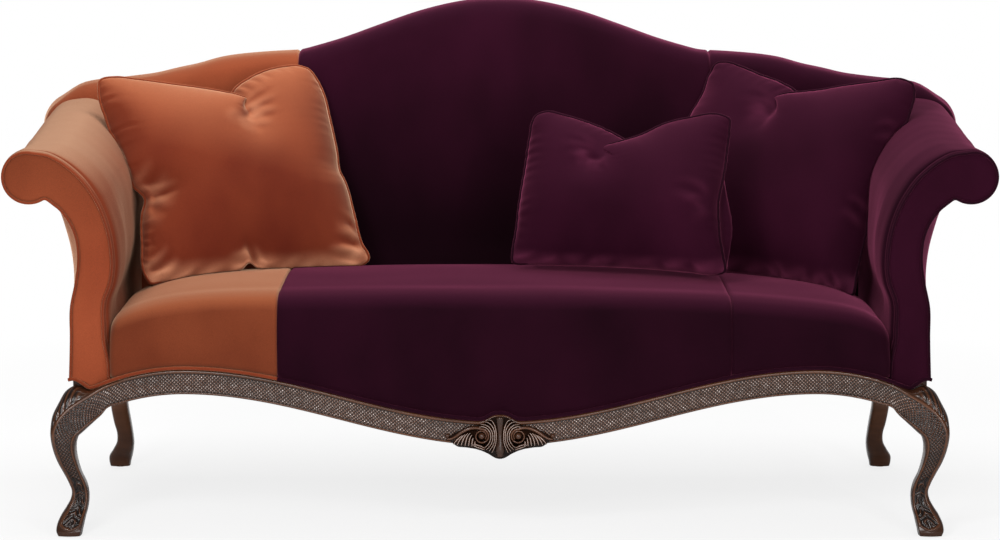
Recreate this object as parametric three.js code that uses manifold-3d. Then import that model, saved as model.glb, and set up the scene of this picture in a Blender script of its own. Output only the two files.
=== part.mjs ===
// Camelback settee with scrolled arms, a serpentine carved apron and cabriole legs.
// Millimetres, +Z up. The seat faces -Y, and the origin is the middle of the footprint on the floor.
// While it is being built, Y is 0 at the front of the arms.

import * as THREE from 'three';
import { mergeVertices } from 'three/addons/utils/BufferGeometryUtils.js';
import Module from 'manifold-3d';

const wasm = await Module();
wasm.setup();

// Materials
const velvet = (name, color) => new THREE.MeshStandardMaterial({ name, color, roughness: 0.85 });
const orangeVelvet = velvet('orange_velvet', 0xb4582f);
const purpleVelvet = velvet('purple_velvet', 0x3a0f22);
const carvedWood = new THREE.MeshStandardMaterial({ name: 'carved_wood', color: 0x3f2215, roughness: 0.4 });
const frameWood = new THREE.MeshStandardMaterial({ name: 'frame_wood', color: 0xc79f6c, roughness: 0.7 });
const foam = new THREE.MeshStandardMaterial({ name: 'foam', color: 0xe8dfc4, roughness: 0.95 });
const webbing = new THREE.MeshStandardMaterial({ name: 'webbing', color: 0x9c8458, roughness: 0.9 });
const dustCloth = new THREE.MeshStandardMaterial({ name: 'dust_cloth', color: 0x1c1a1b, roughness: 0.95 });
const felt = new THREE.MeshStandardMaterial({ name: 'felt', color: 0x4a4038, roughness: 0.95 });

// Cloth, cords and clearances
const GAP = 0.4;
const CLOTH = 3;
const WELT_RADIUS = 3.6;

// Seat
const SEAT_WIDTH = 1500;
const SEAT_TUCK = 17;
const SEAT_HEIGHT = 508;
const SEAT_SIDE_DROP = 68;
const SEAT_CROWN_PLACE = 280;
const SEAT_REAR_DROP = 26;
const SEAT_BOW = 44;
const SEAT_LIP = 12;
const SEAT_EDGE_RADIUS = 42;
const SEAT_BELLY = 8;
const SEAM_LEFT = 438;
const SEAM_RIGHT = 456;

// Frame of rails under the seat
const SEAT_THICKNESS = 163;
const RAIL_HEIGHT = 56;
const RAIL_THICKNESS = 28;
const BRACE_WIDTH = 30;
const BRACE_HEIGHT = 38;
const BRACE_PLACE = 260;
const CORNER_BRACE_THICKNESS = 25;
const CORNER_BRACE_CLEARANCE = 30;
const CORNER_BRACE_HEIGHT = 30;
const WEB_WIDTH = 50;
const WEB_THICKNESS = 2;
const SEAT_WEB_COUNT = 7;
const LONG_WEB_COUNT = 3;
const DUST_CLOTH = 2;

// Back
const BACK_PLACE = 600;
const BACK_RAKE = 0.23;
const BACK_THICKNESS = 110;
const BACK_DEPTH_UNDER_SEAT = 78;
const BACK_CROWN = 16;
const BACK_TUCK = 15;
const BACK_EDGE_RADIUS = 40;
const BACK_FOAM = 58;
const CREST_RISE = 519;
const SHOULDER_RISE = 22;
const CREST_REACH = 175;
const TOP_RAIL_INSET = 23;
const TOP_RAIL_HEIGHT = 72;
const BACK_RAIL_THICKNESS = 26;
const LOWER_RAIL_RISE = 40;
const LOWER_RAIL_HEIGHT = 40;
const STILE_WIDTH = 50;
const STILE_PLACE = 285;
const BACK_WEB_PLACES = [100, 300, 490, 670];

// Arms
const ARM_REACH = 230;
const ARM_RISE = 256;
const ARM_SKIRT = 49;
const ROLL_RADIUS = 54;
const ROLL_RISE = 56;
const ROLL_FLARE = 16;
const FLARE_LENGTH = 110;
const WING_MARGIN = 9;
const FACING_THICKNESS = 12;
const ARM_PAD = 24;
const PAD_RISE = 7;
const STUMP_THICKNESS = 28;
const ARM_RAIL_RADIUS = 22;
const ARM_LOWER_RAIL_RISE = 125;
const ARM_LOWER_RAIL_HEIGHT = 30;
const ARM_LOWER_RAIL_THICKNESS = 20;

// Apron and legs
const APRON_DROP = 110;
const APRON_SWEEP = 96;
const APRON_PEAK_PLACE = 621;
const APRON_END_DROP = 35;
const APRON_HEIGHT = 48;
const APRON_FRONT = -18;
const APRON_THICKNESS = 31;
const BEAD = 6;
const BEAD_RISE = 3;
const LEG_INSET = 43;
const LEG_WIDTH = 95;
const LEG_DROP = 54;
const LEG_DEPTH = 90;
const LEG_FRONT = -48;
const BLOCK_INSET = 38;
const BLOCK_CLEARANCE = 4.8;
const BLOCK_OVERLAP = 40;
const REAR_LEG_WIDTH = 60;
const REAR_LEG_INSET = 56;
const REAR_LEG_DEPTH = 120;
const GLIDE_HEIGHT = 3;
const GLIDE_RADIUS = 13;

// Carved scroll ornament at the middle of the apron
const SCROLL_RADIUS = 17;
const SCROLL_PLACE = 40;
const ORNAMENT_THICKNESS = 11;
const ORNAMENT_RISE = 14;
const ORNAMENT_DROP = 69;
const TENDRIL_REACH = 112;

// Scatter cushions, and how far they keep from what they touch and from an arm that they slide past
const CONTACT_GAP = 0.6;
const ARM_CONTACT_GAP = 5;
const LEFT_CUSHION_WIDTH = 482;
const RIGHT_CUSHION_WIDTH = 474;
const CUSHION_THICKNESS = 150;
const CUSHION_DENT = 62;
const SMALL_CUSHION_WIDTH = 436;
const SMALL_CUSHION_HEIGHT = 346;
const SMALL_CUSHION_THICKNESS = 120;
const SMALL_CUSHION_DENT = 50;

// The foot of an arm's outside panel, as a share of the arm's reach
const panelFootShare = 0.46;

// Sizes that follow from the ones above
const seatHalf = SEAT_WIDTH / 2;
const seatEdge = seatHalf + SEAT_TUCK;
const RAIL_TOP = SEAT_HEIGHT - SEAT_THICKNESS;
const railBottom = RAIL_TOP - RAIL_HEIGHT;
const ARM_TOP = SEAT_HEIGHT + ARM_RISE;
const ARM_BOTTOM = RAIL_TOP - ARM_SKIRT;
const armHeight = ARM_TOP - ARM_BOTTOM;
const PAD_BOTTOM = RAIL_TOP + PAD_RISE;
const CREST_HEIGHT = SEAT_HEIGHT + CREST_RISE;
const BACK_BOTTOM = SEAT_HEIGHT - BACK_DEPTH_UNDER_SEAT;
const LOWER_RAIL_BOTTOM = RAIL_TOP + LOWER_RAIL_RISE;
const APRON_LOW = RAIL_TOP - APRON_DROP;
const LEG_TOP = RAIL_TOP - LEG_DROP;
const deckTop = RAIL_TOP + GAP + WEB_THICKNESS + GAP;
const legInner = seatHalf + LEG_INSET;
const blockInner = seatHalf + BLOCK_INSET;
const blockOuter = seatHalf + ARM_REACH * panelFootShare - CLOTH - BLOCK_CLEARANCE;
const blockWidth = blockOuter - blockInner;
const armFront = FACING_THICKNESS + GAP;
const blockFront = Math.max(armFront, APRON_FRONT + APRON_THICKNESS) + GAP;
const blockBack = blockFront + blockWidth;
const sideRailInner = blockOuter - RAIL_THICKNESS;
const rearBlockFront = backFace(RAIL_TOP) + BACK_FOAM + GAP;
const rearBlockBack = backFace(railBottom) + BACK_THICKNESS;
const crestEnd = seatHalf + CREST_REACH;
const crestEndHeight = ARM_TOP + ROLL_RISE + SHOULDER_RISE;

// Outlines, as shares of the sizes that they follow

// The inside edge of an arm facing, from the bottom up: share of the reach, share of the height
const armInsideShares = [
  [0.083, 0.02], [0.091, 0.24], [0.087, 0.35], [0.03, 0.43], [0.008, 0.5], [0.012, 0.57], [0.03, 0.637],
  [0.065, 0.705], [0.117, 0.773], [0.191, 0.838], [0.274, 0.893], [0.374, 0.938], [0.483, 0.972],
  [0.6, 0.994],
];
// The outside edge of an arm facing, below its roll
const facingOutsideShares = [
  [0.509, 0.746], [0.435, 0.697], [0.383, 0.637], [0.361, 0.55], [0.383, 0.447],
  [0.43, 0.335], [0.435, 0.205], [0.448, 0.03],
];
// The outside panel of an arm below its roll, a row for each row above
const panelOutsideShares = [
  [0.62, 0.715], [0.592, 0.68], [0.562, 0.637], [0.51, 0.55], [0.478, 0.447],
  [0.474, 0.335], [0.468, 0.205], [panelFootShare, 0.03],
];
// The crest of the back, from its middle out: share of its half width, share of the drop to its shoulder
const humpShares = [
  [0, 0], [0.05, 0.005], [0.095, 0.035], [0.19, 0.146], [0.285, 0.308], [0.38, 0.476], [0.428, 0.546],
  [0.471, 0.605],
];
const shoulderShares = [
  [0.471, 0.605], [0.523, 0.616], [0.57, 0.632], [0.618, 0.654], [0.666, 0.692], [0.714, 0.762],
  [0.762, 0.811], [0.81, 0.87], [0.857, 0.903], [0.905, 0.93], [0.952, 0.951], [1, 1],
];
// A front leg, from the top down: up, outside, inside, front, back
const legShares = [
  [1, 0.6, 0, 0.29, 0.96], [0.9, 0.82, 0, 0.14, 0.94], [0.81, 0.947, 0, 0.04, 0.86],
  [0.745, 0.985, 0.3, 0, 0.76], [0.68, 0.985, 0.43, 0.02, 0.7], [0.6, 0.945, 0.45, 0.07, 0.66],
  [0.52, 0.885, 0.41, 0.15, 0.65], [0.43, 0.77, 0.33, 0.27, 0.68], [0.34, 0.62, 0.25, 0.38, 0.76],
  [0.28, 0.58, 0.21, 0.42, 0.8], [0.2, 0.66, 0.23, 0.36, 0.8], [0.13, 0.79, 0.26, 0.21, 0.76],
  [0.065, 0.895, 0.32, 0.08, 0.7], [0.02, 0.89, 0.36, 0.04, 0.66], [0, 0.86, 0.4, 0.06, 0.62],
];
// A rear leg, the same way
const rearLegShares = [
  [1, 0.72, 0.12, 0.03, 0.29], [0.76, 0.7, 0.14, 0.06, 0.35], [0.5, 0.76, 0.17, 0.14, 0.46],
  [0.36, 0.66, 0.07, 0.22, 0.53], [0.27, 0.55, 0.02, 0.3, 0.6], [0.2, 0.6, 0, 0.38, 0.7],
  [0.13, 0.78, 0.04, 0.48, 0.85], [0.065, 0.96, 0.12, 0.6, 1], [0, 0.92, 0.2, 0.64, 0.97],
];
// How far a corner of a leg's section is rounded off
const legCornerShare = 0.28;

// Helpers

const lerp = (a, b, share) => a + (b - a) * share;
const clamp = (value) => Math.min(1, Math.max(0, value));
const ease = (value) => clamp(value) ** 2 * (3 - 2 * clamp(value));
const spread = (from, to, count) => Array.from({ length: count + 1 }, (_, i) => lerp(from, to, i / count));

const distance = (a, b) => Math.hypot(...a.map((value, i) => value - b[i]));

// A value read off a table of [place, value] rows, in straight runs
function readOff(rows, place) {
  const last = rows.length - 1;
  const next = Math.min(last, Math.max(1, rows.findIndex((row) => row[0] >= place)));
  const [before, after] = [rows[next - 1], rows[place > rows[last][0] ? last : next]];
  return lerp(before[1], after[1], clamp((place - before[0]) / (after[0] - before[0])));
}

// A path in a plane, moved sideways to its right by the given distance
function offsetPath(path, distance) {
  return path.map((point, i) => {
    const before = path[Math.max(0, i - 1)];
    const after = path[Math.min(path.length - 1, i + 1)];
    const run = Math.hypot(after[0] - before[0], after[1] - before[1]);
    const side = [(after[1] - before[1]) / run, (before[0] - after[0]) / run];
    return [point[0] + side[0] * distance, point[1] + side[1] * distance];
  });
}

// A ring between two offsets of one path
const skinRing = (path, near, far) => [...offsetPath(path, near), ...offsetPath(path, far).reverse()];

// A geometry from corner points and triangles, with its faces turned outwards
function closedGeometry(points, triangles) {
  const [a, b, c] = [new THREE.Vector3(), new THREE.Vector3(), new THREE.Vector3()];
  let volume = 0;
  for (const [i, j, k] of triangles) {
    volume += a.fromArray(points[i]).dot(b.fromArray(points[j]).cross(c.fromArray(points[k])));
  }
  const faces = volume < 0 ? triangles.map(([i, j, k]) => [i, k, j]) : triangles;
  const geometry = new THREE.BufferGeometry();
  geometry.setAttribute('position', new THREE.Float32BufferAttribute(points.flat(), 3));
  geometry.setIndex(faces.flat());
  return geometry;
}

// The triangles that close a ring, turned the same way round as the ring
function capTriangles(ring, first) {
  const spans = [0, 1, 2].map((axis) => {
    const [p, q] = [(axis + 1) % 3, (axis + 2) % 3];
    return ring.reduce((sum, point, i) => {
      const next = ring[(i + 1) % ring.length];
      return sum + point[p] * next[q] - next[p] * point[q];
    }, 0);
  });
  const axis = spans.map(Math.abs).indexOf(Math.max(...spans.map(Math.abs)));
  const [p, q] = [(axis + 1) % 3, (axis + 2) % 3];
  const contour = ring.map((point) => new THREE.Vector2(point[p], point[q]));
  return THREE.ShapeUtils.triangulateShape(contour, []).map(([i, j, k]) => {
    const turn = (contour[j].x - contour[i].x) * (contour[k].y - contour[i].y)
      - (contour[k].x - contour[i].x) * (contour[j].y - contour[i].y);
    const face = turn * spans[axis] > 0 ? [i, j, k] : [i, k, j];
    return face.map((corner) => corner + first);
  });
}

// A closed solid through a row of rings that all have the same number of points
function loft(rings) {
  const count = rings[0].length;
  const triangles = [];
  for (let i = 0; i + 1 < rings.length; i += 1) {
    for (let j = 0; j < count; j += 1) {
      const [a, b] = [i * count + j, i * count + (j + 1) % count];
      const [near, far] = [rings[i], rings[i + 1]];
      const next = (j + 1) % count;
      const slant = distance(near[j], far[next]) <= distance(near[next], far[j]);
      triangles.push(...(slant ? [[a, b, b + count], [a, b + count, a + count]]
        : [[a, b, a + count], [b, b + count, a + count]]));
    }
  }
  const end = (rings.length - 1) * count;
  triangles.push(...capTriangles(rings[0], 0).map(([i, j, k]) => [i, k, j]));
  triangles.push(...capTriangles(rings[rings.length - 1], end));
  return closedGeometry(rings.flat(), triangles);
}

// A box between two corners
function box(low, high) {
  const size = low.map((value, i) => high[i] - value);
  const geometry = new THREE.BoxGeometry(...size);
  geometry.translate(...low.map((value, i) => (value + high[i]) / 2));
  return geometry;
}

// An outline in plan, given a height and a thickness
const slab = (outline, bottom, top) => loft([bottom, top].map((z) => outline.map(([x, y]) => [x, y, z])));

// A round cord along a route
const cordSides = 6;
function cord(route, radius) {
  const rings = route.map((point, i) => {
    const centre = new THREE.Vector3(...point);
    const before = new THREE.Vector3(...route[Math.max(0, i - 1)]);
    const along = new THREE.Vector3(...route[Math.min(route.length - 1, i + 1)]).sub(before).normalize();
    const across = new THREE.Vector3(0, 1, 0).cross(along).normalize();
    const other = along.clone().cross(across);
    return spread(0, 2 * Math.PI, cordSides).slice(1).map((angle) => centre.clone()
      .addScaledVector(across, radius * Math.cos(angle))
      .addScaledVector(other, radius * Math.sin(angle)).toArray());
  });
  return loft(rings);
}

// Boolean joins and cuts
function toSolid(geometry) {
  const bare = new THREE.BufferGeometry();
  bare.setAttribute('position', geometry.getAttribute('position').clone());
  bare.setIndex(geometry.getIndex());
  const merged = mergeVertices(bare);
  return new wasm.Manifold(new wasm.Mesh({
    numProp: 3,
    vertProperties: new Float32Array(merged.getAttribute('position').array),
    triVerts: new Uint32Array(merged.getIndex().array),
  }));
}

function toGeometry(solid) {
  const mesh = solid.getMesh();
  const geometry = new THREE.BufferGeometry();
  geometry.setAttribute('position', new THREE.BufferAttribute(new Float32Array(mesh.vertProperties), 3));
  geometry.setIndex(new THREE.BufferAttribute(new Uint32Array(mesh.triVerts), 1));
  return geometry;
}

const joined = (...parts) => toGeometry(parts.map(toSolid).reduce((whole, part) => whole.add(part)));

// The same piece on the other side of the settee
function mirrored(geometry) {
  const points = geometry.getAttribute('position');
  const index = Array.from(geometry.getIndex().array);
  const corners = [...points.array.keys()].filter((i) => i % 3 === 0);
  const places = corners.map((i) => [-points.array[i], points.array[i + 1], points.array[i + 2]]);
  const starts = [...index.keys()].filter((i) => i % 3 === 0);
  const triangles = starts.map((i) => index.slice(i, i + 3));
  return closedGeometry(places, triangles);
}

// Shape rules that several pieces share

// The front of the back at a height, before its crown
function backFace(z) {
  return BACK_PLACE + BACK_RAKE * (z - SEAT_HEIGHT);
}

// A point in the back: across, depth behind its front face, height
const backPoint = (x, depth, z) => [x, backFace(z) + depth, z];

// How far the front of the seat bows forward at a place across it
const bow = (x) => SEAT_BOW * (1 + Math.cos(Math.PI * Math.min(1, Math.abs(x) / seatEdge))) / 2;
const apronFace = (x) => APRON_FRONT - bow(x);
const apronBack = (x) => apronFace(x) + APRON_THICKNESS;
const railBack = (x) => apronBack(x) + GAP + RAIL_THICKNESS;

// The upper edge of the apron
function apronTop(x) {
  const place = Math.abs(x) / APRON_PEAK_PLACE;
  if (place < 1) return APRON_LOW + APRON_SWEEP * (1 - Math.cos(Math.PI * place)) / 2;
  const beyond = (Math.abs(x) - APRON_PEAK_PLACE) / (legInner - APRON_PEAK_PLACE);
  return APRON_LOW + APRON_SWEEP - APRON_END_DROP * beyond ** 2;
}

// The top of the seat across its width, on the line of its crown
const seatTopPower = 3.2;
const seatTop = (x) => SEAT_HEIGHT - SEAT_SIDE_DROP * (Math.abs(x) / seatHalf) ** seatTopPower;

// Places across the seat where its sections stand, with one at each seam
const sideSteps = 5;
const middleSteps = 10;
function seatColumns(end) {
  const left = spread(-end, -SEAM_LEFT, sideSteps);
  const middle = spread(-SEAM_LEFT, SEAM_RIGHT, middleSteps);
  const right = spread(SEAM_RIGHT, end, sideSteps);
  return [...left, ...middle.slice(1, -1), ...right];
}

// The rounded front edge of the seat: back and up, as shares of its radius
const seatEdgeShares = [[0.02, 0], [0.22, 0.42], [0.6, 0.74], [1, 0.86]];
// The seat from its edge to its crown: way along, and drop as a share of the edge's radius
const seatRiseShares = [[0.35, 0.06], [1, 0]];
const bellyShare = 0.5;
const rearDipShare = 0.25;

// The seat's section at a place across it, from its lower front edge over the top to the back
function seatPath(x) {
  const front = apronFace(x);
  const bottom = apronTop(x) + GAP + 2 * WELT_RADIUS + GAP;
  const top = seatTop(x);
  const edge = top - SEAT_EDGE_RADIUS;
  const rear = top - SEAT_REAR_DROP;
  return [
    [front, bottom],
    [front - SEAT_BELLY, lerp(bottom, edge, bellyShare)],
    ...seatEdgeShares.map(([back, up]) => [front + SEAT_EDGE_RADIUS * back, edge + SEAT_EDGE_RADIUS * up]),
    ...seatRiseShares.map(([along, down]) => [
      lerp(front + SEAT_EDGE_RADIUS, SEAT_CROWN_PLACE, along), top - SEAT_EDGE_RADIUS * down]),
    [lerp(SEAT_CROWN_PLACE, backFace(rear), bellyShare), top - SEAT_REAR_DROP * rearDipShare],
    [backFace(rear) - GAP, rear],
  ];
}

const seatPlaces = (from, to) => [
  from, ...seatColumns(seatEdge).filter((x) => x > from + GAP && x < to - GAP), to];

// A piece of the seat between two places across it, from its ring at each column
function alongSeat(from, to, ring) {
  return loft(seatPlaces(from, to).map((x) => ring(x).map(([y, z]) => [x, y, z])));
}

// A point of an arm's section at a place along it: the arm leans out behind its flared front,
// and climbs towards the back
const risePower = 1.5;
function onArm(y, [reach, up]) {
  const along = clamp(y / backFace(ARM_TOP));
  const lean = ROLL_FLARE * ease(up) * (along - ease(y / FLARE_LENGTH));
  const rise = ROLL_RISE * along * clamp(up) ** risePower;
  return [seatHalf + ARM_REACH * reach + lean, ARM_BOTTOM + armHeight * up + rise];
}

// The roll of an arm, from its top round to its underside
const rollStart = 1.75;
const rollEnd = -2.2;
const ROLL_STEPS = 10;
const rollMiddleShares = [(ARM_REACH - ROLL_RADIUS) / ARM_REACH, (armHeight - ROLL_RADIUS) / armHeight];
function rollPath(y, radius) {
  const [x, z] = onArm(y, rollMiddleShares);
  const angles = spread(rollStart, rollEnd, ROLL_STEPS);
  return angles.map((angle) => [x + radius * Math.cos(angle), z + radius * Math.sin(angle)]);
}

// The inside of an arm from the given height share up, and its roll
function armPath(y, fromShare = 0) {
  const inside = armInsideShares.filter(([, up]) => up > fromShare);
  const start = [readOff(armInsideShares.map(([reach, up]) => [up, reach]), fromShare), fromShare];
  const rows = fromShare > 0 ? [start, ...inside] : inside;
  return [...rows.map((row) => onArm(y, row)), ...rollPath(y, ROLL_RADIUS)];
}

// The outside of an arm, which swells from the facing's waist to a nearly upright panel
function armOutside(y) {
  const share = ease((y - armFront) / FLARE_LENGTH);
  const [x, z] = rollPath(y, ROLL_RADIUS)[ROLL_STEPS];
  const rows = facingOutsideShares.map((row, i) => row.map(
    (value, j) => lerp(value, panelOutsideShares[i][j], share)));
  return [[x, z - 2 * GAP], ...rows.map((row) => onArm(y, row))];
}

const flareShares = [0.3, 0.62, 1];
const halfwayShare = 0.5;

// Sections along an arm, with the last on the slope of the back
function alongArm(path, depth) {
  const end = backFace(ARM_TOP);
  const places = [armFront, ...flareShares.map((share) => FLARE_LENGTH * share), end * halfwayShare, end];
  return loft(places.map((y) => path(y).map(([x, z]) => [x, y === end ? backFace(z) + depth : y, z])));
}

// The crest of the back at a place across it
const humpSteps = 8;
const shoulderSteps = 9;
function crestCurve(rows) {
  const points = rows.map(([across, down]) => new THREE.Vector3(
    crestEnd * across, 0, lerp(CREST_HEIGHT, crestEndHeight, down)));
  return new THREE.CatmullRomCurve3(points);
}
const humpPoints = crestCurve(humpShares).getPoints(humpSteps);
const shoulderPoints = crestCurve(shoulderShares).getPoints(shoulderSteps).slice(1);
const crestRows = [...humpPoints, ...shoulderPoints].map((point) => [point.x, point.z]);
const crestAt = (x) => readOff(crestRows, Math.abs(x));

// The back's outline paired with the line where its upholstery starts, from the middle out.
// Each row is [outline x, outline z, start x, start z].
const wingStart = 1.05;
const wingEnd = -2.05;
const WING_STEPS = 9;
const wingRadius = ROLL_RADIUS + WING_MARGIN;
const flatShare = 0.86;
const tuckShare = 0.3;
function backRows() {
  const rearPath = offsetPath(armPath(backFace(ARM_TOP), tuckShare), BACK_TUCK);
  const arcStart = rearPath.length - 1 - ROLL_STEPS;
  const climb = rearPath.slice(0, arcStart + 1);
  const places = new Set([...crestRows.map((row) => row[0]), SEAM_LEFT, SEAM_RIGHT]);
  const columns = [...places].sort((a, b) => a - b);
  const flat = columns.filter((x) => x <= seatHalf * flatShare).map((x) => {
    const spreadShare = clamp((x - SEAM_RIGHT) / (seatHalf * flatShare - SEAM_RIGHT));
    return [x, crestAt(x), lerp(x, rearPath[0][0], spreadShare), BACK_BOTTOM];
  });
  const side = columns.filter((x) => x > seatHalf * flatShare && x < crestEnd + GAP);
  const climbing = side.map((x, i) => {
    const place = (i + 1) / side.length * (climb.length - 1);
    const [a, b] = [climb[Math.floor(place)], climb[Math.min(climb.length - 1, Math.floor(place) + 1)]];
    const share = place - Math.floor(place);
    return [x, crestAt(x), lerp(a[0], b[0], share), lerp(a[1], b[1], share)];
  });
  const [rollX, rollZ] = onArm(backFace(ARM_TOP), rollMiddleShares);
  const wing = spread(wingStart, wingEnd, WING_STEPS).map((angle) => {
    const inner = ROLL_RADIUS - BACK_TUCK;
    return [rollX + wingRadius * Math.cos(angle), rollZ + wingRadius * Math.sin(angle),
      rollX + inner * Math.cos(angle), rollZ + inner * Math.sin(angle)];
  });
  return [...flat, ...climbing, ...wing];
}
const halfRows = backRows();
const allRows = [...halfRows.slice(1).reverse().map(([x, z, sx, sz]) => [-x, z, -sx, sz]), ...halfRows];

// A point on the line from the outline towards the start line
function backInset([x, z, sx, sz], inset) {
  const run = Math.hypot(sx - x, sz - z);
  return [lerp(x, sx, inset / run), lerp(z, sz, inset / run)];
}

// How far the back swells forward at a place across it
const swellReach = seatHalf * flatShare;
const backSwell = (x) => BACK_CROWN * clamp(1 - (x / swellReach) ** 2);
const faceShares = [1, 0.66, 0.33];
const seatInsetShare = 0.9;
const edgeShare = 0.8;
const rearEdgeShares = [0.3, 0.15];

// The section of the back's face along one row: [inset from the outline, depth], sunk by the given amount
function backPath(row, sink) {
  const [x, z, sx, sz] = row;
  const run = Math.hypot(sx - x, sz - z);
  const edge = Math.min(BACK_EDGE_RADIUS, run * edgeShare);
  const seatInset = sz < SEAT_HEIGHT ? run * (z - SEAT_HEIGHT) / (z - sz) : run * seatInsetShare;
  const face = [run, ...faceShares.map((share) => lerp(edge, seatInset, share))].map((inset) => {
    const up = (backInset(row, inset)[1] - SEAT_HEIGHT) / (z - edge - SEAT_HEIGHT);
    return [inset, sink - backSwell(x) * Math.sin(Math.PI * clamp(up))];
  });
  const turn = Math.SQRT1_2;
  return [
    ...face,
    [edge, sink],
    [edge * (1 - turn) + sink * turn, edge * (1 - turn) + sink * turn],
    [sink, edge],
    [sink, BACK_THICKNESS - edge * rearEdgeShares[0]],
    [edge * rearEdgeShares[1] + sink, BACK_THICKNESS - CLOTH],
  ];
}

const placeOnBack = (row, [inset, depth]) => {
  const [x, z] = backInset(row, inset);
  return backPoint(x, depth, z);
};

// Sub-parts

// Legs

function legRing([up, outside, inside, front, back], spec) {
  const x = [lerp(spec.inner, spec.outer, inside), lerp(spec.inner, spec.outer, outside)];
  const y = [lerp(spec.front, spec.back, front), lerp(spec.front, spec.back, back)];
  const z = lerp(spec.bottom, spec.top, up);
  const cutX = (x[1] - x[0]) * legCornerShare;
  const cutY = (y[1] - y[0]) * legCornerShare;
  return [
    [x[0] + cutX, y[0], z], [x[1] - cutX, y[0], z], [x[1], y[0] + cutY, z], [x[1], y[1] - cutY, z],
    [x[1] - cutX, y[1], z], [x[0] + cutX, y[1], z], [x[0], y[1] - cutY, z], [x[0], y[0] + cutY, z],
  ];
}

const frontLegSpec = {
  inner: legInner, outer: legInner + LEG_WIDTH, front: LEG_FRONT, back: LEG_FRONT + LEG_DEPTH,
  bottom: GLIDE_HEIGHT + GAP, top: LEG_TOP,
};
const rearLegSpec = {
  inner: seatHalf + REAR_LEG_INSET, outer: seatHalf + REAR_LEG_INSET + REAR_LEG_WIDTH,
  front: rearBlockFront, back: rearBlockFront + REAR_LEG_DEPTH, bottom: GLIDE_HEIGHT + GAP, top: LEG_TOP,
};

function frontLeg() {
  const curved = loft(legShares.map((row) => legRing(row, frontLegSpec)));
  const block = box([blockInner, blockFront, LEG_TOP - BLOCK_OVERLAP], [blockOuter, blockBack, RAIL_TOP]);
  return joined(curved, block);
}

function rearLeg() {
  const curved = loft(rearLegShares.map((row) => legRing(row, rearLegSpec)));
  const block = box([blockInner, rearBlockFront, railBottom], [blockOuter, rearBlockBack, RAIL_TOP]);
  return joined(curved, block);
}

const glideSides = 16;
function glide(shares, spec) {
  const [, outside, inside, front, back] = shares[shares.length - 1];
  const geometry = new THREE.CylinderGeometry(GLIDE_RADIUS, GLIDE_RADIUS, GLIDE_HEIGHT, glideSides);
  geometry.rotateX(Math.PI / 2);
  geometry.translate(lerp(spec.inner, spec.outer, (outside + inside) / 2),
    lerp(spec.front, spec.back, (front + back) / 2), GLIDE_HEIGHT / 2);
  return geometry;
}

// Apron and its ornament

function apronRing(x) {
  const [top, face, back] = [apronTop(x), apronFace(x), apronBack(x)];
  const bottom = top - APRON_HEIGHT;
  return [
    [face, top - BEAD], [face - BEAD_RISE, top - BEAD / 2], [face, top], [back, top], [back, bottom],
    [face, bottom], [face - BEAD_RISE, bottom + BEAD / 2], [face, bottom + BEAD],
  ];
}

// The seat's columns, carried on to the ends of a piece that reaches further
const widerColumns = (end) => [-end, ...seatColumns(seatEdge), end];

const apron = () => loft(widerColumns(legInner - GAP).map((x) => apronRing(x).map(([y, z]) => [x, y, z])));

// The right half of the ornament's outline, from its top round:
// across, and up or down from the middle of the apron
const ornamentShares = [
  [0.18, 0.95], [0.34, 0.62], [0.52, 0.55], [0.6, 0.26], [0.82, 0.3], [1, 0.02], [0.84, -0.1],
  [0.66, -0.34], [0.5, -0.62], [0.3, -0.72], [0.14, -0.84],
];

function ornamentOutline() {
  const middle = APRON_LOW - APRON_HEIGHT / 2;
  const [top, bottom] = [APRON_LOW + ORNAMENT_RISE, APRON_LOW - ORNAMENT_DROP];
  const right = ornamentShares.map(([across, rise]) => [
    TENDRIL_REACH * across, lerp(middle, rise > 0 ? top : bottom, Math.abs(rise))]);
  const left = right.map(([x, z]) => [-x, z]).reverse();
  return [[0, top], ...right, [0, bottom], ...left];
}

const scrollTaperShare = 0.6;
const scrollDropShare = 0.6;
const scrollSides = 20;
function ornament() {
  const back = apronFace(0) - BEAD_RISE - GAP;
  const outline = ornamentOutline();
  const plate = loft([back, back - ORNAMENT_THICKNESS / 2].map((y) => outline.map(([x, z]) => [x, y, z])));
  const scroll = (x) => {
    const [wide, narrow] = [SCROLL_RADIUS, SCROLL_RADIUS * scrollTaperShare];
    const geometry = new THREE.CylinderGeometry(wide, narrow, ORNAMENT_THICKNESS, scrollSides);
    geometry.translate(x, back - ORNAMENT_THICKNESS / 2, APRON_LOW - APRON_HEIGHT * scrollDropShare);
    return geometry;
  };
  return joined(plate, scroll(-SCROLL_PLACE), scroll(SCROLL_PLACE));
}

// Rails and braces

function frontRail() {
  const end = blockInner - GAP;
  const ring = (x) => {
    const front = apronBack(x) + GAP;
    const back = front + RAIL_THICKNESS;
    const bottom = apronTop(x) - APRON_HEIGHT + BEAD;
    return [[front, bottom], [front, RAIL_TOP], [back, RAIL_TOP], [back, bottom]];
  };
  return loft(widerColumns(end).map((x) => ring(x).map(([y, z]) => [x, y, z])));
}

const rearRail = () => box([GAP - blockInner, rearBlockFront, railBottom],
  [blockInner - GAP, rearBlockFront + RAIL_THICKNESS, RAIL_TOP]);

const sideRail = () => box([sideRailInner, blockBack + GAP, railBottom],
  [blockOuter, rearBlockFront - GAP, RAIL_TOP]);

// Just behind the front rail
const againstFrontRail = (x) => railBack(x) + 2 * GAP;

function crossBrace() {
  const [near, far] = [BRACE_PLACE - BRACE_WIDTH / 2, BRACE_PLACE + BRACE_WIDTH / 2];
  return box([near, againstFrontRail(far), railBottom],
    [far, rearBlockFront - GAP, railBottom + BRACE_HEIGHT]);
}

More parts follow.
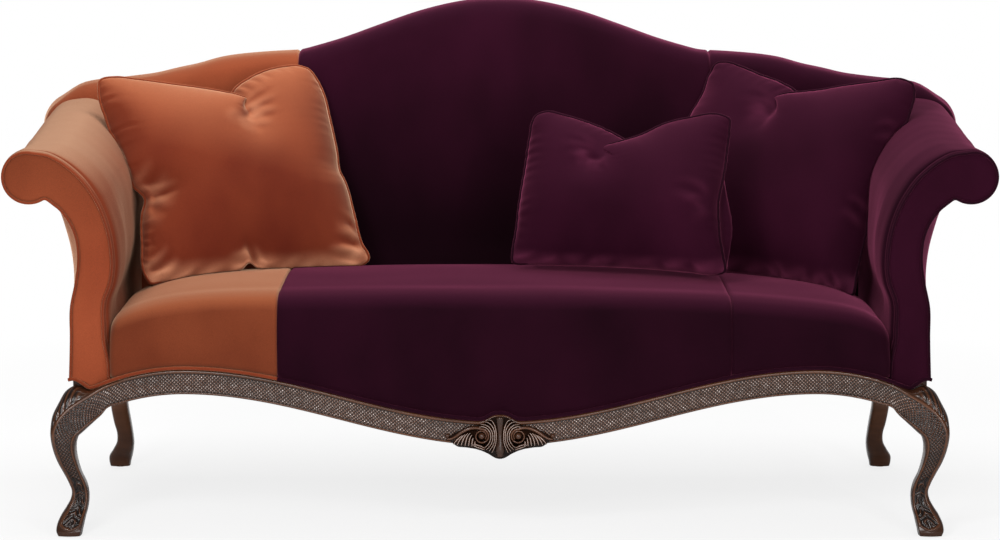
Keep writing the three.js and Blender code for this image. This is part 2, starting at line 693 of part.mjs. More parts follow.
function cornerBrace(wall, side) {
  const x = sideRailInner - GAP;
  const thick = CORNER_BRACE_THICKNESS * Math.SQRT2;
  const near = blockWidth + CORNER_BRACE_CLEARANCE;
  const outline = [[x - near - thick, wall], [x - near, wall], [x, wall + side * near],
    [x, wall + side * (near + thick)]];
  return slab(outline, railBottom, railBottom + CORNER_BRACE_HEIGHT);
}

// Seat webbing, foam and covers

// Straps from front to back and from side to side, woven into one web
function seatWebbing() {
  const [bottom, top] = [RAIL_TOP + GAP, RAIL_TOP + GAP + WEB_THICKNESS];
  const span = seatHalf - WEB_WIDTH;
  const reach = blockOuter - RAIL_THICKNESS / 2;
  const front = apronBack(seatEdge);
  const rear = rearBlockFront + RAIL_THICKNESS / 2;
  const deep = spread(-span, span, SEAT_WEB_COUNT - 1)
    .map((x) => box([x - WEB_WIDTH / 2, front, bottom], [x + WEB_WIDTH / 2, rear, top]));
  const long = spread(blockBack + WEB_WIDTH, rearBlockFront - WEB_WIDTH, LONG_WEB_COUNT - 1)
    .map((y) => box([-reach, y - WEB_WIDTH / 2, bottom], [reach, y + WEB_WIDTH / 2, top]));
  return joined(...deep, ...long);
}

function seatFoam() {
  return alongSeat(-seatEdge, seatEdge, (x) => {
    const path = offsetPath(seatPath(x), CLOTH + 2 * GAP);
    const lip = apronBack(x) - SEAT_LIP;
    const rear = path[path.length - 1];
    path[path.length - 1] = [backFace(rear[1]) - 2 * GAP, rear[1]];
    return [...path, [backFace(deckTop) - 2 * GAP, deckTop], [lip, deckTop], [lip, path[0][1]]];
  });
}

const seatCover = (from, to) => alongSeat(from, to, (x) => skinRing(seatPath(x), 0, CLOTH));

function seatWelt(from, to) {
  const route = seatPlaces(from, to).map((x) => [
    x, apronFace(x) + WELT_RADIUS / 2, apronTop(x) + GAP + WELT_RADIUS]);
  return cord(route, WELT_RADIUS);
}

function dustCover() {
  const edge = sideRailInner + RAIL_THICKNESS / 2;
  const front = seatColumns(legInner - LEG_INSET / 2).map((x) => [x, againstFrontRail(x)]);
  const shoulder = blockBack + GAP;
  const rear = rearBlockFront - GAP;
  const outline = [...front, [front[front.length - 1][0], shoulder], [edge, shoulder], [edge, rear],
    [-edge, rear], [-edge, shoulder], [front[0][0], shoulder]];
  return slab(outline, railBottom - GAP - DUST_CLOTH, railBottom - GAP);
}

// Back

// A plate of the back's frame: outline across and up, between two depths
const backPlate = (outline, front, thickness) => loft([front, front + thickness]
  .map((depth) => outline.map(([x, z]) => backPoint(x, depth, z))));

const railDepth = BACK_FOAM + WEB_THICKNESS + 2 * GAP;
const topRailRows = allRows.slice(WING_STEPS + 1, -WING_STEPS - 1);
const topRailLower = topRailRows.map((row) => backInset(row, TOP_RAIL_INSET + TOP_RAIL_HEIGHT));
const underTopRail = (x) => readOff(topRailLower, x) - GAP;

function topRail() {
  const upper = topRailRows.map((row) => backInset(row, TOP_RAIL_INSET));
  return backPlate([...upper, ...[...topRailLower].reverse()], railDepth, BACK_RAIL_THICKNESS);
}

// An upright of the back from a height to just under the top rail
function upright(from, to, bottom) {
  const kinks = topRailLower.filter(([x]) => x > from && x < to).map(([x]) => x);
  const top = [from, ...kinks, to].map((x) => [x, underTopRail(x)]);
  return backPlate([[from, bottom], ...top, [to, bottom]], railDepth, BACK_RAIL_THICKNESS);
}

const backPost = () => upright(blockInner, blockInner + STILE_WIDTH, RAIL_TOP + GAP);
const backStile = (place) => upright(place - STILE_WIDTH / 2, place + STILE_WIDTH / 2,
  LOWER_RAIL_BOTTOM + LOWER_RAIL_HEIGHT + GAP);

function lowerBackRail() {
  const end = blockInner - GAP;
  const top = LOWER_RAIL_BOTTOM + LOWER_RAIL_HEIGHT;
  return backPlate([[-end, LOWER_RAIL_BOTTOM], [-end, top], [end, top], [end, LOWER_RAIL_BOTTOM]],
    railDepth, BACK_RAIL_THICKNESS);
}

// Straps up the back and one across it, woven into one web
function backWebbing() {
  const half = WEB_WIDTH / 2;
  const bottom = LOWER_RAIL_BOTTOM + LOWER_RAIL_HEIGHT / 2;
  const over = TOP_RAIL_HEIGHT / 2;
  const strap = (outline) => backPlate(outline, BACK_FOAM + GAP, WEB_THICKNESS);
  const up = BACK_WEB_PLACES.flatMap((place) => [-place, place]).map((x) => {
    const [a, b] = [x - half, x + half];
    return strap([[a, bottom], [a, underTopRail(a) + over], [b, underTopRail(b) + over], [b, bottom]]);
  });
  const end = blockInner + STILE_WIDTH / 2;
  const middle = (SEAT_HEIGHT + crestEndHeight) / 2;
  const [low, high] = [middle - half, middle + half];
  const across = strap([[-end, low], [-end, high], [end, high], [end, low]]);
  return joined(...up, across);
}

function backFoam() {
  const rings = allRows.map((row) => {
    const path = backPath(row, CLOTH + 2 * GAP);
    const run = Math.hypot(row[2] - row[0], row[3] - row[1]);
    const top = TOP_RAIL_INSET - GAP;
    const rear = path[path.length - 1];
    rear[1] -= CLOTH;
    const ring = [...path, [top, rear[1]], [top, BACK_FOAM], [run, BACK_FOAM]];
    return ring.map((place) => placeOnBack(row, place));
  });
  return loft(rings);
}

function backCover(from, to) {
  const edgeRow = (x) => {
    const next = allRows.findIndex((row) => row[0] >= x);
    const [a, b] = [allRows[next - 1], allRows[next]];
    return a.map((value, i) => lerp(value, b[i], (x - a[0]) / (b[0] - a[0])));
  };
  const inside = allRows.filter((row) => row[0] > from + GAP && row[0] < to - GAP);
  const first = Number.isFinite(from) ? [edgeRow(from)] : [];
  const last = Number.isFinite(to) ? [edgeRow(to)] : [];
  return loft([...first, ...inside, ...last].map((row) => {
    const ring = [...backPath(row, 0), ...backPath(row, CLOTH).reverse()];
    return ring.map((place) => placeOnBack(row, place));
  }));
}

function outsideBack() {
  const crest = allRows.map((row) => backInset(row, CLOTH));
  const down = armOutside(backFace(ARM_TOP)).slice(1).map(([x, z]) => [x - CLOTH, z]);
  const left = down.map(([x, z]) => [-x, z]).reverse();
  return backPlate([...left, ...crest, ...down], BACK_THICKNESS + GAP, CLOTH);
}

// Arms

const padShare = (PAD_BOTTOM - ARM_BOTTOM) / armHeight;
const armCover = () => alongArm((y) => skinRing(armPath(y, padShare), 0, CLOTH), -GAP);
const armPadding = () => alongArm(
  (y) => skinRing(armPath(y, padShare), CLOTH + 2 * GAP, CLOTH + ARM_PAD), -GAP);
const outsidePanel = () => alongArm((y) => skinRing(armOutside(y), 0, CLOTH), BACK_THICKNESS);

function facingOutline(inset) {
  return offsetPath([...armPath(0), ...armOutside(0).slice(1)], inset);
}

const armFacing = () => loft([0, FACING_THICKNESS]
  .map((y) => facingOutline(2 * WELT_RADIUS + GAP).map(([x, z]) => [x, y, z])));

const armWelt = () => cord(facingOutline(WELT_RADIUS).map(([x, z]) => [x, WELT_RADIUS, z]), WELT_RADIUS);

function armStump() {
  const base = RAIL_TOP + GAP;
  return loft([blockFront, blockFront + STUMP_THICKNESS].map((y) => {
    const inner = offsetPath(armPath(y), CLOTH + ARM_PAD + CLOTH).filter((point) => point[1] > PAD_BOTTOM);
    const panel = offsetPath(armOutside(armFront).slice(1), 2 * CLOTH);
    const outer = panel.filter((point) => point[1] > PAD_BOTTOM);
    const outline = [[inner[0][0], base], ...inner, ...outer, [outer[outer.length - 1][0], base]];
    return outline.map(([x, z]) => [x, y, z]);
  }));
}

const railSides = 10;
function armTopRail() {
  const start = blockFront + STUMP_THICKNESS + GAP;
  const end = backFace(ARM_TOP);
  const places = [start, FLARE_LENGTH, end * halfwayShare, end];
  return loft(places.map((y, i) => {
    const [x, z] = onArm(y, rollMiddleShares);
    return spread(0, 2 * Math.PI, railSides).slice(1).map((angle) => {
      const up = z + ARM_RAIL_RADIUS * Math.sin(angle);
      const onBack = backFace(up) + railDepth - GAP;
      return [x + ARM_RAIL_RADIUS * Math.cos(angle), i === places.length - 1 ? onBack : y, up];
    });
  }));
}

function armLowerRail() {
  const start = blockFront + STUMP_THICKNESS + GAP;
  const low = RAIL_TOP + ARM_LOWER_RAIL_RISE;
  const high = low + ARM_LOWER_RAIL_HEIGHT;
  const lowShare = (low - ARM_LOWER_RAIL_HEIGHT / 2 - ARM_BOTTOM) / armHeight;
  const inner = armPath(0, lowShare)[0][0] + CLOTH + ARM_PAD + CLOTH;
  const outer = inner + ARM_LOWER_RAIL_THICKNESS;
  const ring = [[inner, low], [outer, low], [outer, high], [inner, high]];
  return loft([ring.map(([x, z]) => [x, start, z]), ring.map(([x, z]) => backPoint(x, railDepth - GAP, z))]);
}

// Scatter cushions

// Where each cushion's middle lies, as shares of its width: in from the arm, forward of the back
// and above the seat.
// Its turns are in degrees, and the dent lies along its top edge.
const CUSHIONS = [
  {
    name: 'pillow_orange', cloth: orangeVelvet, side: -1, placeShares: [0.394, 0.253, 0.349],
    width: LEFT_CUSHION_WIDTH, height: LEFT_CUSHION_WIDTH, depth: CUSHION_THICKNESS,
    yaw: 18, lean: 31, roll: -3, dentShare: 0.12, dentDepth: CUSHION_DENT,
  },
  {
    name: 'pillow_purple_large', cloth: purpleVelvet, side: 1, placeShares: [0.293, 0.253, 0.354],
    width: RIGHT_CUSHION_WIDTH, height: RIGHT_CUSHION_WIDTH, depth: CUSHION_THICKNESS,
    yaw: -28, lean: 26, roll: 3, dentShare: -0.3, dentDepth: CUSHION_DENT,
  },
  {
    name: 'pillow_purple_small', cloth: purpleVelvet, side: 1, placeShares: [1.11, 0.697, 0.339],
    width: SMALL_CUSHION_WIDTH, height: SMALL_CUSHION_HEIGHT, depth: SMALL_CUSHION_THICKNESS,
    yaw: -11, lean: 27, roll: 1.5, dentShare: -0.26, dentDepth: SMALL_CUSHION_DENT,
  },
];
const cushionSteps = 14;
const drawnShare = 0.07;
const plumpPower = 0.42;
const dentWidthShare = 0.26;
const dentPower = 3;

// The inside of an arm that a cushion must clear on its way up
function armLimit(y, z) {
  const path = armPath(Math.min(backFace(ARM_TOP), Math.max(armFront, y)), padShare);
  const above = path.filter((point) => point[1] >= z);
  const crossings = path.slice(0, -1).map(([x, up], i) => {
    const [nextX, nextUp] = path[i + 1];
    const share = (z - up) / (nextUp - up);
    return nextUp > up && share >= 0 && share <= 1 ? lerp(x, nextX, share) : Infinity;
  });
  return Math.min(...above.map((point) => point[0]), ...crossings);
}

// The height of the seat at a place on its top
function seatSurface(x, y) {
  const path = seatPath(x);
  const lip = apronFace(x) + SEAT_EDGE_RADIUS;
  return readOff(path.filter((point) => point[0] >= lip), y);
}

// Pushes a point of a cushion out of the seat, the back and the arms
function pressed([x, y, z]) {
  const low = seatSurface(x, y) + CONTACT_GAP;
  const up = Math.max(low, z);
  const deep = Math.min(y, backFace(up) - backSwell(x) - CONTACT_GAP);
  const reach = armLimit(deep, up) - ARM_CONTACT_GAP;
  return [Math.max(-reach, Math.min(reach, x)), deep, Math.max(up, seatSurface(x, deep) + CONTACT_GAP)];
}

function cushion(spec) {
  const { width, height, depth } = spec;
  const [fromArm, fromBack, overSeat] = spec.placeShares.map((share) => width * share);
  const place = [spec.side * (seatHalf - fromArm), BACK_PLACE - fromBack, SEAT_HEIGHT + overSeat];
  const matrix = new THREE.Matrix4().makeTranslation(...place)
    .multiply(new THREE.Matrix4().makeRotationZ(THREE.MathUtils.degToRad(spec.yaw)))
    .multiply(new THREE.Matrix4().makeRotationX(-THREE.MathUtils.degToRad(spec.lean)))
    .multiply(new THREE.Matrix4().makeRotationY(THREE.MathUtils.degToRad(spec.roll)));
  const point = (u, v, face) => {
    const near = Math.exp(-(((u - spec.dentShare) / dentWidthShare) ** 2));
    const dip = spec.dentDepth * near * ((v + 1) / 2) ** dentPower;
    const plump = ((1 - u ** 2) * (1 - v ** 2)) ** plumpPower;
    const local = new THREE.Vector3(
      width / 2 * u * (1 - drawnShare * (1 - v ** 2) * u ** 2),
      face * depth / 2 * plump,
      height / 2 * v * (1 - drawnShare * (1 - u ** 2) * v ** 2) - dip,
    );
    return pressed(local.applyMatrix4(matrix).toArray());
  };
  const shares = spread(-1, 1, cushionSteps).map((value) => Math.sin(value * Math.PI / 2));
  const index = new Map();
  const points = [];
  const corner = (i, j, face) => {
    const rim = i === 0 || j === 0 || i === cushionSteps || j === cushionSteps;
    const key = `${i},${j},${rim ? 0 : face}`;
    if (!index.has(key)) {
      index.set(key, points.length);
      points.push(point(shares[i], shares[j], rim ? 0 : face));
    }
    return index.get(key);
  };
  const triangles = [];
  for (const face of [-1, 1]) {
    for (let i = 0; i < cushionSteps; i += 1) {
      for (let j = 0; j < cushionSteps; j += 1) {
        const [a, b] = [corner(i, j, face), corner(i + 1, j, face)];
        const [c, d] = [corner(i + 1, j + 1, face), corner(i, j + 1, face)];
        const slant = (i < cushionSteps / 2) === (j < cushionSteps / 2);
        const pair = slant ? [[a, b, c], [a, c, d]] : [[a, b, d], [b, c, d]];
        triangles.push(...pair.map(([p, q, r]) => (face < 0 ? [p, q, r] : [p, r, q])));
      }
    }
  }
  return closedGeometry(points, triangles);
}

// Assembly

const settee = new THREE.Group();
settee.name = 'settee';

function add(name, geometry, material) {
  const mesh = new THREE.Mesh(geometry, material);
  mesh.name = name;
  settee.add(mesh);
}

// A piece on each side: the right one as built, the left one mirrored
function addPair(name, geometry, right, left = right) {
  add(`${name}_right`, geometry, right);
  add(`${name}_left`, mirrored(geometry), left);
}

addPair('front_leg', frontLeg(), carvedWood);
addPair('rear_leg', rearLeg(), carvedWood);
addPair('front_glide', glide(legShares, frontLegSpec), felt);
addPair('rear_glide', glide(rearLegShares, rearLegSpec), felt);
add('apron', apron(), carvedWood);
add('apron_ornament', ornament(), carvedWood);
add('front_seat_rail', frontRail(), frameWood);
add('rear_seat_rail', rearRail(), frameWood);
addPair('side_seat_rail', sideRail(), frameWood);
addPair('cross_brace', crossBrace(), frameWood);
addPair('front_corner_brace', cornerBrace(railBack(sideRailInner) + GAP, 1), frameWood);
addPair('rear_corner_brace', cornerBrace(rearBlockFront - GAP, -1), frameWood);
add('dust_cover', dustCover(), dustCloth);

add('seat_webbing', seatWebbing(), webbing);
add('seat_foam', seatFoam(), foam);
add('seat_cover_left', seatCover(-seatEdge, -SEAM_LEFT - GAP / 2), orangeVelvet);
add('seat_cover_middle', seatCover(-SEAM_LEFT + GAP / 2, SEAM_RIGHT - GAP / 2), purpleVelvet);
add('seat_cover_right', seatCover(SEAM_RIGHT + GAP / 2, seatEdge), purpleVelvet);
add('seat_welt_orange', seatWelt(-seatEdge, -SEAM_LEFT - GAP / 2), orangeVelvet);
add('seat_welt_purple', seatWelt(-SEAM_LEFT + GAP / 2, seatEdge), purpleVelvet);

addPair('back_post', backPost(), frameWood);
addPair('back_stile', backStile(STILE_PLACE), frameWood);
add('back_top_rail', topRail(), frameWood);
add('back_lower_rail', lowerBackRail(), frameWood);
add('back_webbing', backWebbing(), webbing);
add('back_foam', backFoam(), foam);
add('back_cover_left', backCover(-Infinity, -SEAM_LEFT - GAP / 2), orangeVelvet);
add('back_cover_middle', backCover(-SEAM_LEFT + GAP / 2, SEAM_RIGHT - GAP / 2), purpleVelvet);
add('back_cover_right', backCover(SEAM_RIGHT + GAP / 2, Infinity), purpleVelvet);
add('outside_back', outsideBack(), purpleVelvet);

addPair('arm_stump', armStump(), frameWood);
addPair('arm_top_rail', armTopRail(), frameWood);
addPair('arm_lower_rail', armLowerRail(), frameWood);
addPair('arm_pad', armPadding(), foam);
addPair('arm_cover', armCover(), purpleVelvet, orangeVelvet);
addPair('outside_arm', outsidePanel(), purpleVelvet, orangeVelvet);
addPair('arm_facing', armFacing(), purpleVelvet, orangeVelvet);
addPair('arm_welt', armWelt(), purpleVelvet, orangeVelvet);

for (const spec of CUSHIONS) add(spec.name, cushion(spec), spec.cloth);

// The origin goes to the middle of the footprint
const extent = new THREE.Box3().setFromObject(settee);
settee.position.set(0, -(extent.min.y + extent.max.y) / 2, 0);

export default settee;
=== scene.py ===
import math

import bpy
import numpy as np
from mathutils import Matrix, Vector, geometry
from mathutils.bvhtree import BVHTree


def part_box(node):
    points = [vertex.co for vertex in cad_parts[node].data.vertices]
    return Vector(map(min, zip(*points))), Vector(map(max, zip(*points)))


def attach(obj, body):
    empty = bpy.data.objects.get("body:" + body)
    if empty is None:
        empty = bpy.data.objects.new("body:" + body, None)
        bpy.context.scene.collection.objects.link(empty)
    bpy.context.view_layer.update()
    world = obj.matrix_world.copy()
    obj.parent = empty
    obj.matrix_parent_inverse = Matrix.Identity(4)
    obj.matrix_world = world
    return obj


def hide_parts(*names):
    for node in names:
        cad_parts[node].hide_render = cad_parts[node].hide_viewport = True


# Settee: velvet upholstery in two colours on a carved walnut frame.
# Lengths are in millimetres, with x across, y back from the arm facings and z up.

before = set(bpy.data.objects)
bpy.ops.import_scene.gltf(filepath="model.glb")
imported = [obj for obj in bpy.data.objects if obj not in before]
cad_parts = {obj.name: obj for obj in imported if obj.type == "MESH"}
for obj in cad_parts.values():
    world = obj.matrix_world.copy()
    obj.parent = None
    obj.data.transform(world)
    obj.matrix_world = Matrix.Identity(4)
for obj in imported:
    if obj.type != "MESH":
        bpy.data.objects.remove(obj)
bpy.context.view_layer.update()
FACING_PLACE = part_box("arm_facing_left")[0].y

# Seat
CLOTH = 3.0
SEAT_HALF = 750.0
SEAT_END = 769.0
SEAT_HEIGHT = 508.0
SEAT_CROWN = 490.0
# The seat's fall towards each arm: an even slope, then a drop close to the arm and its power
SEAT_FALL_LEFT = (16.0, 33.0, 10.0)
SEAT_FALL_RIGHT = (42.0, 22.5, 18.0)
SEAT_CROWN_PLACE = 280.0
SEAT_REAR_DROP = 26.0
SEAT_BOW = 44.0
SEAT_LIP = 12.0
SEAT_EDGE_RADIUS = 42.0
SEAT_BELLY = 8.0
SEAM_LEFT = 438.0
SEAM_RIGHT = 456.0
DECK_TOP = 348.0
WELT_RADIUS = 3.6

# Back
BACK_PLACE = 600.0
BACK_RAKE = 0.23
BACK_THICKNESS = 110.0
BACK_BOTTOM = 392.0
BACK_CROWN = 16.0
BACK_TUCK = 15.0
BACK_EDGE_RADIUS = 40.0
CREST_HEIGHT = 1027.0
CREST_END = 925.0
CREST_END_HEIGHT = 842.0
WING_MARGIN = 9.0

# Arms
ARM_REACH = 230.0
ARM_BOTTOM = 296.0
ARM_HEIGHT = 468.0
ARM_TOP = 764.0
ROLL_RADIUS = 54.0
ROLL_RISE = 56.0
ROLL_FLARE = 16.0
FLARE_LENGTH = 110.0
ARM_SKIN = 24.0
PAD_BOTTOM = 352.0
FACING_THICKNESS = 12.0

# Apron and legs
APRON_LOW = 235.0
APRON_SWEEP = 96.0
APRON_PEAK_PLACE = 621.0
APRON_END_DROP = 35.0
APRON_HEIGHT = 48.0
APRON_FRONT = -18.0
APRON_THICKNESS = 31.0
APRON_END = 793.0
ARCH_RISE = 14.0
ARCH_REACH = 26.0
TOP_BEAD_WIDTH = 7.0
LOW_BEAD_WIDTH = 5.0
BEAD_RISE = 2.8
WEAVE_PITCH = 7.2
WEAVE_RISE = 2.6

# The thin gap between neighbouring pieces
GAP = 0.4


# Numbers

def lerp(a, b, share):
    return a + (b - a) * share


def ease(value):
    value = np.clip(value, 0.0, 1.0)
    return value * value * (3 - 2 * value)


def plateau(value, start, rise, stop, fall):
    """One between two places, with an eased rise after the first and an eased fall after the second."""
    return ease((value - start) / rise) * (1 - ease((value - stop) / fall))


def unit(rows):
    return rows / np.linalg.norm(rows, axis=1)[:, None]


def beside(runs):
    """The way to the right of each run in a plane."""
    return np.stack([runs[:, 1], -runs[:, 0]], 1)


def circle(count):
    """Points evenly round a circle of radius one."""
    turn = np.linspace(0, 2 * math.pi, count, endpoint=False)
    return np.stack([np.cos(turn), np.sin(turn)], 1)


def stood(flat, depth):
    """Points given across and up, with their depth put between."""
    return np.stack([flat[..., 0], np.broadcast_to(depth, flat.shape[:-1]), flat[..., 1]], -1)


def on_side(points, side):
    """Points of the right side, or with side -1 the same on the left."""
    return points * np.array([side, 1.0, 1.0])


def spline(places, rows, at):
    """A smooth line through rows of numbers that stand at rising places."""
    places, rows, at = (np.asarray(values, float) for values in (places, rows, at))
    gaps = np.diff(places)
    shape = (-1,) + (1,) * (rows.ndim - 1)
    steps = gaps.reshape(shape)
    rises = np.diff(rows, axis=0) / steps
    slopes = np.empty_like(rows)
    slopes[0] = rises[0]
    slopes[-1] = rises[-1]
    slopes[1:-1] = (steps[1:] * rises[:-1] + steps[:-1] * rises[1:]) / (steps[1:] + steps[:-1])
    span = np.clip(np.searchsorted(places, at, side="right") - 1, 0, len(places) - 2)
    width = gaps[span].reshape(shape)
    t = ((at - places[span]) / gaps[span]).reshape(shape)
    t2, t3 = t * t, t * t * t
    return ((2 * t3 - 3 * t2 + 1) * rows[span] + (t3 - 2 * t2 + t) * width * slopes[span]
            + (3 * t2 - 2 * t3) * rows[span + 1] + (t3 - t2) * width * slopes[span + 1])


def along(rows):
    """The way along a row of points, point by point."""
    runs = np.linalg.norm(np.diff(rows, axis=0), axis=-1)
    return np.concatenate([[0.0], np.cumsum(np.maximum(runs, 1e-6))])


def smooth(rows, count):
    """The same line with count points, evenly spaced."""
    places = along(rows)
    return spline(places, rows, np.linspace(0, places[-1], count))


def soften(rows, rounds):
    """Evens out kinks along the rows, with the ends kept."""
    rows = rows.copy()
    for _ in range(rounds):
        rows[1:-1] = (rows[:-2] + 2 * rows[1:-1] + rows[2:]) / 4
    return rows


def offset_path(path, distance):
    """A path in a plane, moved sideways to its right."""
    return path + beside(unit(np.gradient(path, axis=0))) * np.reshape(distance, (-1, 1))


def even(outline, count):
    """A closed outline with its points evenly spaced."""
    closed = np.concatenate([outline, outline[:1]])
    places = along(closed)
    at = np.linspace(0, places[-1], count, endpoint=False)
    return np.stack([np.interp(at, places, line) for line in closed.T], 1)


def inset(outline, distance):
    """A closed outline moved inwards, point by point."""
    ahead = unit(np.roll(outline, -1, axis=0) - np.roll(outline, 1, axis=0))
    moved = outline + beside(ahead) * distance
    for _ in range(2):
        moved = (np.roll(moved, 1, axis=0) + 2 * moved + np.roll(moved, -1, axis=0)) / 4
    return moved


def wave(points, scale, seed=0.0):
    """Soft unevenness from a few crossed waves, between about -1 and 1."""
    p = points / scale
    x, y, z = p[..., 0] + seed, p[..., 1] - seed, p[..., 2] + 2 * seed
    return (np.sin(1.7 * x + 0.9 * y + 1.3 * np.sin(0.8 * z + seed))
            + np.sin(2.3 * z - 1.1 * x + 1.7 * np.sin(0.6 * y))
            + np.sin(2.9 * y + 1.9 * z + 1.1 * np.sin(1.3 * x))) / 3


# Meshes

def place(points):
    """Points of the settee in millimetres, as the frame has them."""
    points = np.asarray(points, float).reshape(-1, 3) / 1000
    points[:, 1] += FACING_PLACE
    return points


def added(name, data):
    """A new object in the scene."""
    obj = bpy.data.objects.new(name, data)
    bpy.context.scene.collection.objects.link(obj)
    return obj


def taken(items, name, width, kind=float):
    """One property of every item, as rows."""
    values = np.empty(len(items) * width, kind)
    items.foreach_get(name, values)
    return values.reshape(-1, width)


def outwards(mesh):
    """Turns the faces of a closed mesh outwards."""
    mesh.calc_loop_triangles()
    corners = taken(mesh.vertices, "co", 3)[taken(mesh.loop_triangles, "vertices", 3, int)]
    a, b, c = np.moveaxis(corners, 1, 0)
    if np.einsum("ij,ij->i", a, np.cross(b, c)).sum() < 0:
        mesh.flip_normals()


def make(name, points, faces, material, nodes=(), body="frame", values=None, fill=None):
    """A piece that rides on a body, in place of some nodes of the frame. fill is not used."""
    mesh = bpy.data.meshes.new(name)
    mesh.from_pydata(place(points).tolist(), [], faces)
    if values is not None:
        layer = mesh.attributes.new("relief", "FLOAT", "POINT")
        layer.data.foreach_set("value", np.asarray(values, np.float32).ravel())
    mesh.validate()
    mesh.materials.append(material)
    mesh.shade_smooth()
    outwards(mesh)
    piece = added(name, mesh)
    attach(piece, body)
    if nodes:
        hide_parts(*nodes)
    return piece


def ring_faces(rings, count, loop=False):
    """Faces of a closed body through rings that all have count points: a loop, or a run with filled ends."""
    faces = []
    for i in range(rings if loop else rings - 1):
        here, there = i * count, (i + 1) % rings * count
        for j in range(count):
            k = (j + 1) % count
            faces.append((here + j, here + k, there + k, there + j))
    if not loop:
        faces.append(tuple(reversed(range(count))))
        faces.append(tuple(range((rings - 1) * count, rings * count)))
    return faces


def loft(name, rings, material, nodes=(), loop=False, **more):
    """A closed body through rings of points. rings is shaped rings by points by 3."""
    rings = np.asarray(rings, float)
    return make(name, rings, ring_faces(*rings.shape[:2], loop), material, nodes, **more)


def welt(name, route, radius, material, nodes=(), sides=10, loop=False, **more):
    """A round cord along a route."""
    if loop:
        run = np.roll(route, -1, axis=0) - np.roll(route, 1, axis=0)
    else:
        run = np.gradient(route, axis=0)
    run = unit(run)
    across = np.cross(run, (0.0, 1.0, 0.0))
    across[np.linalg.norm(across, axis=1) < 1e-3] = (1.0, 0.0, 0.0)
    across = unit(across)
    other = np.cross(run, across)
    right, up = circle(sides).T[:, :, None]
    rings = route[:, None] + radius * (across[:, None] * right + other[:, None] * up)
    return loft(name, rings, material, nodes, loop, **more)


# Materials

def rgba(colour):
    """A colour of three shares, or a grey of one."""
    return (*np.broadcast_to(colour, 3).tolist(), 1.0)


def feed(tree, node, inputs):
    """Sets a node's inputs, each to a value or from another node's output."""
    for key, value in inputs.items():
        socket = node.inputs[key]
        if isinstance(value, bpy.types.NodeSocket):
            tree.links.new(value, socket)
        else:
            socket.default_value = rgba(value) if socket.type == "RGBA" else value


def new_node(tree, kind, inputs):
    node = tree.nodes.new("ShaderNode" + kind)
    feed(tree, node, inputs)
    return node


def new_material(name):
    material = bpy.data.materials.new(name)
    material.use_nodes = True
    tree = material.node_tree
    return material, tree, tree.nodes["Principled BSDF"]


def noise(tree, scale, detail=4.0, roughness=0.55, stretch=(1.0, 1.0, 1.0)):
    coords = new_node(tree, "TexCoord", {})
    mapping = new_node(tree, "Mapping", {"Scale": stretch, "Vector": coords.outputs["Object"]})
    texture = new_node(tree, "TexNoise", {"Scale": scale, "Detail": detail, "Roughness": roughness,
                                          "Vector": mapping.outputs["Vector"]})
    return texture.outputs["Fac"]


def ramp(tree, factor, stops):
    node = new_node(tree, "ValToRGB", {"Fac": factor})
    elements = node.color_ramp.elements
    while len(elements) < len(stops):
        elements.new(0.5)
    for element, (position, colour) in zip(elements, stops):
        element.position = position
        element.color = rgba(colour)
    return node.outputs["Color"]


MIX_FACTOR, MIX_A, MIX_B, MIX_RESULT = 0, 6, 7, 2


def mix(tree, factor, a, b, kind="MIX"):
    node = tree.nodes.new("ShaderNodeMix")
    node.data_type = "RGBA"
    node.blend_type = kind
    feed(tree, node, {MIX_FACTOR: factor, MIX_A: a, MIX_B: b})
    return node.outputs[MIX_RESULT]


def product(tree, a, b):
    node = new_node(tree, "Math", {0: a, 1: b})
    node.operation = "MULTIPLY"
    return node.outputs["Value"]


def bump(tree, height, strength, distance):
    node = new_node(tree, "Bump", {"Strength": strength, "Distance": distance, "Height": height})
    return node.outputs["Normal"]


def relief(tree):
    """The number that each point of a mesh carries: how much painted sheen its pile has, or how high its
    carving.
    """
    node = tree.nodes.new("ShaderNodeAttribute")
    node.attribute_name = "relief"
    return node.outputs["Fac"]


